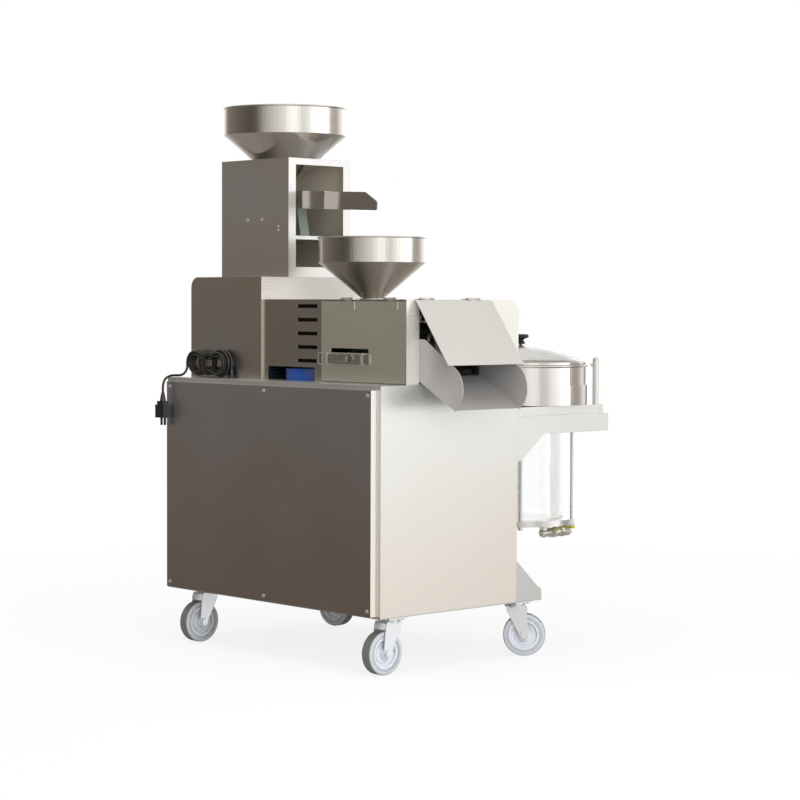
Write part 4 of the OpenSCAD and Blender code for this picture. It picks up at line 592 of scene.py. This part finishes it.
@dataclass
class Studio:
    """Camera at the photograph's viewing angle, a room for metal to mirror, two lamps and a pale floor."""

    location: tuple[float, float, float] = (3.95073, -3.69249, 0.833)
    azimuth: float = 47.084
    pitch: float = 2.487
    roll: float = 0.219
    lens: float = 99.967
    sensor: float = 36.0
    clip_end: float = 100.0
    # Strength of the room that metal mirrors, and of the plain light on all else with its colour
    strength: float = 1.4
    ambient: float = 0.62
    fill: tuple[float, float, float, float] = (1.0, 0.985, 0.965, 1.0)
    floor_half: float = 40.0
    floor_paint: str = "#F4F4F3"
    lamps: tuple[Lamp, ...] = (
        Lamp("overhead", 42, 3.0, (0.3, -0.4, 3.5), (0.3, -0.4, 0.0)),
        Lamp("right_side", 40, 1.6, (2.7, -1.0, 1.5), (0.1, 0.0, 0.8)))
    # What polished metal sees round it, from behind the camera at 0 degrees
    room: tuple[Wall, ...] = (
        Wall(-180, 1.2),           # the white backdrop
        Wall(-150, 0.75, 0.3),
        Wall(-130, 0.17, 1.1),     # the dark wall on the left
        Wall(-95, 0.108, 1.15),
        Wall(-64, 0.065, 1.0),
        Wall(-50, 0.09, 0.8),
        Wall(-37, 0.31, 0.4),      # the lit wall behind the camera
        Wall(2, 0.66, 0.2),
        Wall(12, 0.92),            # the first window
        Wall(26, 0.88),
        Wall(31, 0.62, 0.1),       # the pier between the windows
        Wall(40, 0.62, 0.1),
        Wall(50, 0.88),            # the second window
        Wall(69, 1.1),
        Wall(74, 1.38),            # the strip light on the right
        Wall(86, 1.38),
        Wall(93, 0.36, 0.5),       # the corner beside it
        Wall(112, 0.36, 0.5),
        Wall(128, 0.8, 0.1),
        Wall(160, 1.2),            # the backdrop again
        Wall(180, 1.2))
    # The ceiling over them
    above: tuple[Wall, ...] = (
        Wall(-180, 0.5, 0.4),
        Wall(-147, 0.42, 0.5),
        Wall(-130, 0.2, 0.7),      # the dark end
        Wall(-115, 0.2, 0.7),
        Wall(-90, 0.6, 0.4),       # the lit end
        Wall(90, 0.8, 0.4),
        Wall(106, 0.85, 0.4),
        Wall(129, 0.34, 0.5),
        Wall(150, 0.34, 0.5),
        Wall(180, 0.5, 0.4))
    # The machine's own top, which a funnel sees below it
    below: tuple[Wall, ...] = (
        Wall(-180, 0.4, 0.5),
        Wall(-143, 0.24, 0.8),
        Wall(-115, 0.24, 0.8),
        Wall(-64, 0.09, 1.0),      # in the tower's shade
        Wall(-12, 0.48, 0.7),
        Wall(24, 0.52, 0.7),
        Wall(80, 0.06, 0.9),       # in the housing's shade
        Wall(115, 0.06, 0.9),
        Wall(180, 0.4, 0.5))

    def camera(self) -> None:
        """Points the camera: right, up and back vectors are its matrix columns."""
        az, tip, roll = (math.radians(v) for v in (self.azimuth, self.pitch, self.roll))
        ahead = Vector((-math.sin(az) * math.cos(tip), math.cos(az) * math.cos(tip), -math.sin(tip)))
        right = Vector((math.cos(az), math.sin(az), 0))
        up = right.cross(ahead)
        level = math.cos(roll) * right + math.sin(roll) * up
        top = -math.sin(roll) * right + math.cos(roll) * up
        data = bpy.data.cameras.new("camera")
        data.lens = self.lens
        data.sensor_fit = "HORIZONTAL"
        data.sensor_width = self.sensor
        data.clip_end = self.clip_end
        cam = bpy.data.objects.new("camera", data)
        bpy.context.scene.collection.objects.link(cam)
        facing = Matrix((level, top, -ahead)).transposed().to_4x4()
        cam.matrix_world = Matrix.Translation(self.location) @ facing
        bpy.context.scene.camera = cam

    def world(self) -> None:
        """White behind the object, a plain fill, and a room of bright and dark walls for metal."""
        world = bpy.data.worlds.new("studio")
        bpy.context.scene.world = world
        world.use_nodes = True
        tree = world.node_tree
        tree.nodes.clear()
        way = add(tree, "TexCoord")
        parts = add(tree, "SeparateXYZ", {0: way.outputs["Generated"]})
        angle = add(tree, "Math", {0: parts.outputs["Y"], 1: parts.outputs["X"]}, operation="ARCTAN2")
        # Share of the way round the room, which is one half behind the camera
        turn = add(tree, "Math", {0: angle.outputs[0], 1: 1 / (2 * math.pi),
            2: 0.5 + (90 - self.azimuth) / 360}, operation="MULTIPLY_ADD")
        share = add(tree, "Math", {0: turn.outputs[0]}, operation="FRACT").outputs[0]
        level = parts.outputs["Z"]
        rise = add(tree, "MapRange", {"Value": level, **WALL_RISE})
        shown = add(tree, "VectorMath", {0: self.ramp(tree, share, self.room),
            "Scale": rise.outputs[0]}, operation="SCALE").outputs[0]
        for span, walls in ((TO_CEILING, self.above), (TO_DECK, self.below)):
            part = add(tree, "MapRange", {"Value": level, **span})
            shown = add(tree, "Mix", {0: part.outputs[0], 6: shown,
                7: self.ramp(tree, share, walls)}, data_type="RGBA").outputs[2]
        path = add(tree, "LightPath")
        behind = add(tree, "Math", {0: path.outputs["Is Camera Ray"],
            1: path.outputs["Is Transmission Ray"]}, operation="MAXIMUM")
        fill = add(tree, "Background", {"Color": self.fill, "Strength": self.ambient})
        room = add(tree, "Background", {"Color": shown, "Strength": self.strength})
        white = add(tree, "Background", {"Color": (1, 1, 1, 1), "Strength": 1.0})
        metal = add(tree, "MixShader", {0: path.outputs["Is Glossy Ray"], 1: fill.outputs[0],
            2: room.outputs[0]})
        seen = add(tree, "MixShader", {0: behind.outputs[0], 1: metal.outputs[0],
            2: white.outputs[0]})
        add(tree, "OutputWorld", {"Surface": seen.outputs[0]})

    def ramp(self, tree: Tree, share: Socket, walls: tuple[Wall, ...]) -> Socket:
        """Lays a row of lit and dark walls round the room.

        Args:
            tree: the world's nodes.
            share: share of the way round, from 0 to 1.
            walls: the marks, from the least angle to the greatest.

        Returns:
            The colour at that angle.
        """
        band = add(tree, "ValToRGB", {"Fac": share})
        marks = band.color_ramp.elements
        while len(marks) < len(walls):
            marks.new(0.5)
        for mark, wall in zip(marks, walls):
            mark.position = wall.angle / 360 + 0.5
            mark.color = wall.colour()
        return band.outputs["Color"]

    def floor(self) -> None:
        """Pale floor that reaches to the horizon and keeps a soft shadow near the object."""
        corners = self.floor_half * np.array([(-1, -1, 0), (1, -1, 0), (1, 1, 0), (-1, 1, 0)])
        mesh = bpy.data.meshes.new("floor")
        mesh.from_pydata(corners.tolist(), [], [(0, 1, 2, 3)])
        mat = bpy.data.materials.new("pale_floor")
        mat.use_nodes = True
        tree = mat.node_tree
        tree.nodes.clear()
        path = add(tree, "LightPath")
        seen = add(tree, "Math", {0: path.outputs["Is Camera Ray"],
            1: path.outputs["Is Transmission Ray"]}, operation="MAXIMUM")
        place = add(tree, "TexCoord")
        far = add(tree, "VectorMath", {0: place.outputs["Object"]}, operation="LENGTH")
        pale = add(tree, "MapRange", {"Value": far.outputs["Value"], **FLOOR_GLOW})
        share = add(tree, "Math", {0: seen.outputs[0], 1: pale.outputs[0]}, operation="MULTIPLY")
        paint = add(tree, "BsdfDiffuse", {"Color": linear(self.floor_paint)})
        glow = add(tree, "Emission", {"Color": (1, 1, 1, 1), "Strength": 1.0})
        both = add(tree, "MixShader", {0: share.outputs[0], 1: paint.outputs[0],
            2: glow.outputs[0]})
        add(tree, "OutputMaterial", {"Surface": both.outputs[0]})
        mesh.materials.append(mat)
        floor = bpy.data.objects.new("floor", mesh)
        bpy.context.scene.collection.objects.link(floor)
        floor.visible_glossy = False

    def build(self) -> None:
        """Sets the view and makes the room."""
        bpy.context.scene.view_settings.view_transform = "Standard"
        self.camera()
        self.world()
        for lamp in self.lamps:
            lamp.hang()
        self.floor()


@dataclass
class MainsCord:
    """Mains lead: out of its gland, through a tied hank on the ledge, over the edge and down to its plug.

    The route repeats that of the part's source.
    """

    diameter: float = 6.0
    gland: tuple[float, float, float] = (-218.0, -153.4, 672.0)
    centre: tuple[float, float, float] = (-295.0, -153.4, 685.3)
    run: float = 90.0
    outer: float = 32.0
    pitch: float = 7.0
    loops: int = 2
    layers: int = 4
    layer_pitch: float = 6.6
    waist: float = 9.0
    turns: float = 7.5
    tail_x: float = -368.5
    # Points of the tail, from where the hank ends
    tail: tuple = ((0, 0, -6), (0, 0, -10), (0, -2, -17), (0, -7, -24), (0, -14, -29), (0, -23, -31),
        (0, -34, -31), (0, -42, -31), (0, -52, -32), (0, -61, -35), (0, -69, -41), (0, -73, -49),
        (0, -75, -58), (0, -75, -66), (0, -75, -72))
    # Points of the lead and of the hank, steps between two points of the tail, and sides of the cord
    lead_points: int = 6
    hank_points: int = 900
    tail_steps: int = 6
    sides: int = 14
    # The tie: half its width and thickness, its middle's gap to the cord, and how square loop and strap are
    tie_half: tuple[float, float] = (5.0, 0.9)
    tie_gap: float = 1.2
    tie_loop: float = 0.35
    tie_strap: float = 0.6

    def depth(self) -> float:
        """Distance from the hank's first layer to its last."""
        return (self.layers - 1) * self.layer_pitch

    def hank(self) -> np.ndarray:
        """Centre line of the hank.

        A turn goes round two half circles and two straight runs, and q counts its eighths. Its radius falls
        and rises again evenly, so that loops lie inside each other, and over half a turn it steps out a layer
        where the radius turns back. The runs are drawn in at the waist by half a cosine.

        Returns:
            Points in cabinet millimetres.
        """
        t = np.linspace(0, self.turns, self.hank_points)
        u = t / self.loops
        k = u - 2 * np.floor(u / 2)
        r = self.outer - self.loops * self.pitch * np.where(k < 1, k, 2 - k)
        i = np.round(u)
        step = np.clip((u - i) * self.loops / 0.5 + 0.5, 0, 1)
        inside = (i >= 1) & (i <= self.layers - 1)
        layer = np.where(inside, i - 1 + step, np.clip(i - 1, 0, self.layers - 1))
        q = (t - np.floor(t)) * 8
        h = self.run / 2
        arc = np.radians(90 * q)
        # From the middle of the right end: arc up, upper run, left end, lower run, arc back
        x = np.select([q < 1, q < 3, q < 5, q < 7],
            [h + r * np.cos(arc), h - self.run * (q - 1) / 2, -h - r * np.sin(arc - 1.5 * np.pi),
             -h + self.run * (q - 5) / 2], h + r * np.sin(arc - 3.5 * np.pi))
        z = np.select([q < 1, q < 3, q < 5, q < 7],
            [r * np.sin(arc), r, r * np.cos(arc - 1.5 * np.pi), -r], -r * np.cos(arc - 3.5 * np.pi))
        pull = self.waist * (0.5 + 0.5 * np.cos(np.pi * np.minimum(np.abs(x) / h, 1)))
        z = np.where(np.abs(x) < h, z - np.sign(z) * pull, z)
        cx, cy, cz = self.centre
        return np.stack([cx + x, cy - self.layer_pitch * layer, cz + z], -1)

    def smooth(self, points: np.ndarray) -> np.ndarray:
        """Carries a smooth line through points.

        Each stretch is a cubic whose end slopes are half the step between the neighbours.

        Args:
            points: points to pass through.

        Returns:
            The finer points.
        """
        ext = np.vstack([2 * points[0] - points[1], points, 2 * points[-1] - points[-2]])
        p0, p1, p2, p3 = ext[:-3, None], ext[1:-2, None], ext[2:-1, None], ext[3:, None]
        s = np.linspace(0, 1, self.tail_steps, endpoint=False)[None, :, None]
        line = 0.5 * (2 * p1 + (p2 - p0) * s + (2 * p0 - 5 * p1 + 4 * p2 - p3) * s ** 2
            + (3 * p1 - p0 - 3 * p2 + p3) * s ** 3)
        return np.vstack([line.reshape(-1, 3), points[-1:]])

    def build(self) -> list[Piece]:
        """Sweeps a circle along the route and ties the hank.

        A point of the tube is the route's point plus the radius times (cos a) across and (sin a) over.

        Returns:
            The cord and its tie.
        """
        _, cy, cz = self.centre
        lead = np.linspace(self.gland, (self.gland[0], cy, cz), self.lead_points)[:-1]
        coil = self.hank()
        start = np.array([self.tail_x, cy - self.depth(), cz])
        tail = self.smooth(start + np.array(self.tail, float))
        line = np.vstack([lead, coil, tail])
        way = np.gradient(line, axis=0)
        way /= np.linalg.norm(way, axis=1, keepdims=True)
        across = np.cross(way, (0.0, 1.0, 0.0))
        across[len(lead) + len(coil):] = (1.0, 0.0, 0.0)
        across /= np.linalg.norm(across, axis=1, keepdims=True)
        over = np.cross(way, across)
        a = circle(self.sides)[None, :, None]
        tube = line[:, None] + self.diameter / 2 * (np.cos(a) * across[:, None] + np.sin(a) * over[:, None])
        ends = np.repeat(line[[0, -1]][:, None], self.sides, 1)
        grid = np.concatenate([ends[:1], tube, ends[1:]])
        cord = make_piece("mains_cord", grid, CORD_PVC, "frame", crease=60)
        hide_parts("cord_hank", "cord_run")
        tie = self.tie()
        return [cord, tie]

    def tie(self) -> Piece:
        """Makes the strap round the hank's waist.

        The loop is y = b cos(a)^k, z = c sin(a)^k with signs kept, and grows by the strap's own thickness.
        The strap's section is a flat oval that is squarer along its width.

        Returns:
            The tie.
        """
        cx, cy, cz = self.centre
        half_y = self.depth() / 2 + self.diameter / 2 + self.tie_gap
        half_z = self.outer - self.waist + self.diameter / 2 + self.tie_gap
        loop_steps, strap_steps = 72, 16
        a = circle(loop_steps)[:, None]
        b = circle(strap_steps)[None, :]
        wide = self.tie_half[0] * squared(np.cos(b), self.tie_strap)
        thick = self.tie_half[1] * np.sin(b)
        loop_y = half_y * squared(np.cos(a), self.tie_loop) * (1 + thick / half_y)
        loop_z = half_z * squared(np.sin(a), self.tie_loop) * (1 + thick / half_z)
        grid = np.stack([cx + wide + 0 * a, cy - self.depth() / 2 + loop_y, cz + loop_z], -1)
        return make_piece("hank_tie", grid, BLACK_PLASTIC, "frame", closed=True)


@dataclass
class CoverScrews:
    """Pan-head screws of the rear panel, the tower and the control panel."""

    panel_xs: tuple[float, ...] = (-362.0, 0.0, 362.0)
    panel_zs: tuple[float, ...] = (147.0, 628.0)
    panel_y: float = -232.0
    panel_grip: float = 20.0
    tower_y: float = -60.0
    tower_grip: float = 8.0
    tower_big: tuple = ((-272.5, 1036.0), (-217.5, 1036.0))
    tower_small: tuple = ((-153.5, 1019.0), (-153.5, 1010.0))
    face_at: tuple[float, float, float] = (-252.0, 223.0, 772.0)
    face_half: tuple[float, float] = (88.0, 68.0)
    face_grip: float = 2.5
    head_r: float = 5.0
    small_r: float = 3.5
    head_h: float = 2.5
    # Upright lip as a share of the head's height, and the shank's radius as a share of the head's
    lip: float = 0.35
    shank: float = 0.5
    # Cross recess: half a bar's width and its reach in head radii, and its depth in head heights
    bar_half: float = 0.16
    bar_reach: float = 0.58
    bar_deep: float = 0.5

    def screw(self, x: float, y: float, z: float, head: float, grip: float, way: float = 1.0) -> np.ndarray:
        """One screw as a turned grid with a cross recess pressed into its head.

        Above its lip the head rises by 1 - (r/R)^3 of the rest of its height. The recess is deepest within
        half of a bar's half width and ends at four thirds of it. Along the bar it ends over the last quarter.

        Args:
            x: place of the seat along X.
            y: place of the seat along Y.
            z: place of the seat along Z.
            head: radius of the head.
            grip: length of the shank.
            way: 1 for a head towards -Y, -1 for one towards +Y.

        Returns:
            Points of shape (rows, columns, 3) in cabinet millimetres.
        """
        dome_rows, sides = 14, 48
        stem = head * self.shank
        dome = np.linspace(1, 0, dome_rows)
        rise = -self.head_h * (self.lip + (1 - self.lip) * (1 - dome ** 3))
        below = [[0, grip], [stem, grip], [stem, 0], [head, 0]]
        profile = np.vstack([below, np.stack([head * dome, rise], -1)])
        a = circle(sides)
        px = profile[:, :1] * np.cos(a)
        pz = profile[:, :1] * np.sin(a)
        py = profile[:, 1:] + 0 * a
        near = np.minimum(np.abs(px), np.abs(pz)) / (self.bar_half * head)
        far = np.maximum(np.abs(px), np.abs(pz)) / (self.bar_reach * head)
        dip = np.clip(1.6 - 1.2 * near, 0, 1) * np.clip(4 - 4 * far, 0, 1)
        py = py + np.where(py < 0, self.bar_deep * self.head_h * dip, 0)
        return np.stack([x + way * px, y + way * py, z + pz], -1)

    def build(self) -> Piece:
        """Makes all screws as one piece.

        Returns:
            The screws.
        """
        places = [(x, self.panel_y, z, self.head_r, self.panel_grip)
            for x in self.panel_xs for z in self.panel_zs]
        places += [(x, self.tower_y, z, self.head_r, self.tower_grip) for x, z in self.tower_big]
        places += [(x, self.tower_y, z, self.small_r, self.tower_grip) for x, z in self.tower_small]
        fx, fy, fz = self.face_at
        wide, high = self.face_half
        places += [(fx + a * wide, fy, fz + b * high, self.small_r, self.face_grip, -1.0)
            for a in (-1, 1) for b in (-1, 1)]
        grids = np.stack([self.screw(*p) for p in places])
        piece = make_piece("pan_head_screws", grids, FASTENER, "frame", crease=30)
        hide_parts("cover_screws")
        return piece


@dataclass
class ControlFace:
    """Meter window and dial marks on the front of the controls."""

    face_y: float = 223.0
    window: tuple[float, float, float] = (-252.0, 227.1, 812.0)
    window_half: tuple[float, float] = (20.7, 16.7)
    window_thick: float = 1.0
    window_corner: float = 0.12
    window_crown: float = 0.5
    selector: tuple[float, float] = (-304.0, 766.0)
    selector_marks: tuple[float, ...] = (-45.0, 0.0, 45.0)
    speed: tuple[float, float] = (-200.0, 766.0)
    speed_end: float = 135.0
    speed_marks: int = 11
    mark_in: float = 20.0
    mark_long: float = 4.5
    mark_wide: float = 1.1
    mark_high: float = 0.3
    mark_corner: float = 0.3

    def marks(self, centre: tuple[float, float], degrees: Sequence[float]) -> np.ndarray:
        """Low bars that point at a dial's axis.

        A bar is a plate that lies out along Z from the axis, turned about the axis by its angle.

        Args:
            centre: the dial's axis along X and Z.
            degrees: each bar's angle from straight up.

        Returns:
            Points of shape (bars, rows, columns, 3) in cabinet millimetres.
        """
        middle = self.mark_in + self.mark_long / 2
        half = (self.mark_wide / 2, self.mark_long / 2)
        bar = plate((0, 0, middle), half, self.mark_high, self.mark_corner)
        a = np.radians(degrees)[:, None, None]
        x, y, z = bar[None, ..., 0], bar[None, ..., 1], bar[None, ..., 2]
        return np.stack([centre[0] + x * np.cos(a) + z * np.sin(a), self.face_y + y + 0 * a,
            centre[1] - x * np.sin(a) + z * np.cos(a)], -1)

    def build(self) -> list[Piece]:
        """Makes the window and the marks.

        Returns:
            Both pieces.
        """
        pane = plate(self.window, self.window_half, self.window_thick, self.window_corner, self.window_crown)
        window = make_piece("meter_window", pane, SMOKED, "frame")
        speeds = np.linspace(-self.speed_end, self.speed_end, self.speed_marks)
        bars = np.concatenate([self.marks(self.speed, speeds),
            self.marks(self.selector, self.selector_marks)])
        marks = make_piece("dial_marks", bars, DIAL_INK, "frame")
        return [window, marks]


@dataclass
class DustScreen:
    """A black sheet behind the vent slots: painted shade that keeps the drive dark."""

    middle: tuple[float, float, float] = (49.5, -138.5, 762.0)
    half: tuple[float, float] = (41.0, 72.0)
    thick: float = 0.6
    corner: float = 0.06

    def build(self) -> Piece:
        """Makes the painted shade as one thin plate."""
        cloth = plate(self.middle, self.half, self.thick, self.corner)
        return make_piece("vent_painted_shade", cloth, WIRE_CLOTH, "frame")


@dataclass
class Machine:
    """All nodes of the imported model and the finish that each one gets."""

    record: dict = field(default_factory=lambda: frame["record"])

    def axle(self, tyre: str) -> tuple[float, float, float]:
        """Direction of a tyre's axle at rest, which is the axis of the joint that carries its wheel."""
        wheel = "wheel_" + tyre[-2:]
        return next(tuple(j["axis"]) for j in self.record["behaviour"]["joints"] if j["child"] == wheel)

    def dress(self) -> None:
        """Gives every node its finish."""
        slots = {part["node"]: part["material_slot"] for part in self.record["subparts"]}
        for name, node in frame["nodes"].items():
            finish = NODE_FINISH.get(name, SLOT_FINISH[slots[name]])
            if finish is TYRE:
                finish = replace(TYRE, name=f"{TYRE.name}_{name[-2:]}", axle=self.axle(name))
            node.data.materials.clear()
            node.data.materials.append(finish.material())
            log.info("node %s: %s", name, finish.name)


def main() -> None:
    """Builds the press in order and notes how many new pieces it made."""
    logging.basicConfig(level=logging.INFO, format="%(message)s")
    Studio().build()
    pieces = MainsCord().build()
    Machine().dress()
    pieces += [CoverScrews().build(), *ControlFace().build(), DustScreen().build()]
    log.info("%d new pieces", len(pieces))


if __name__ == "__main__":
    main()
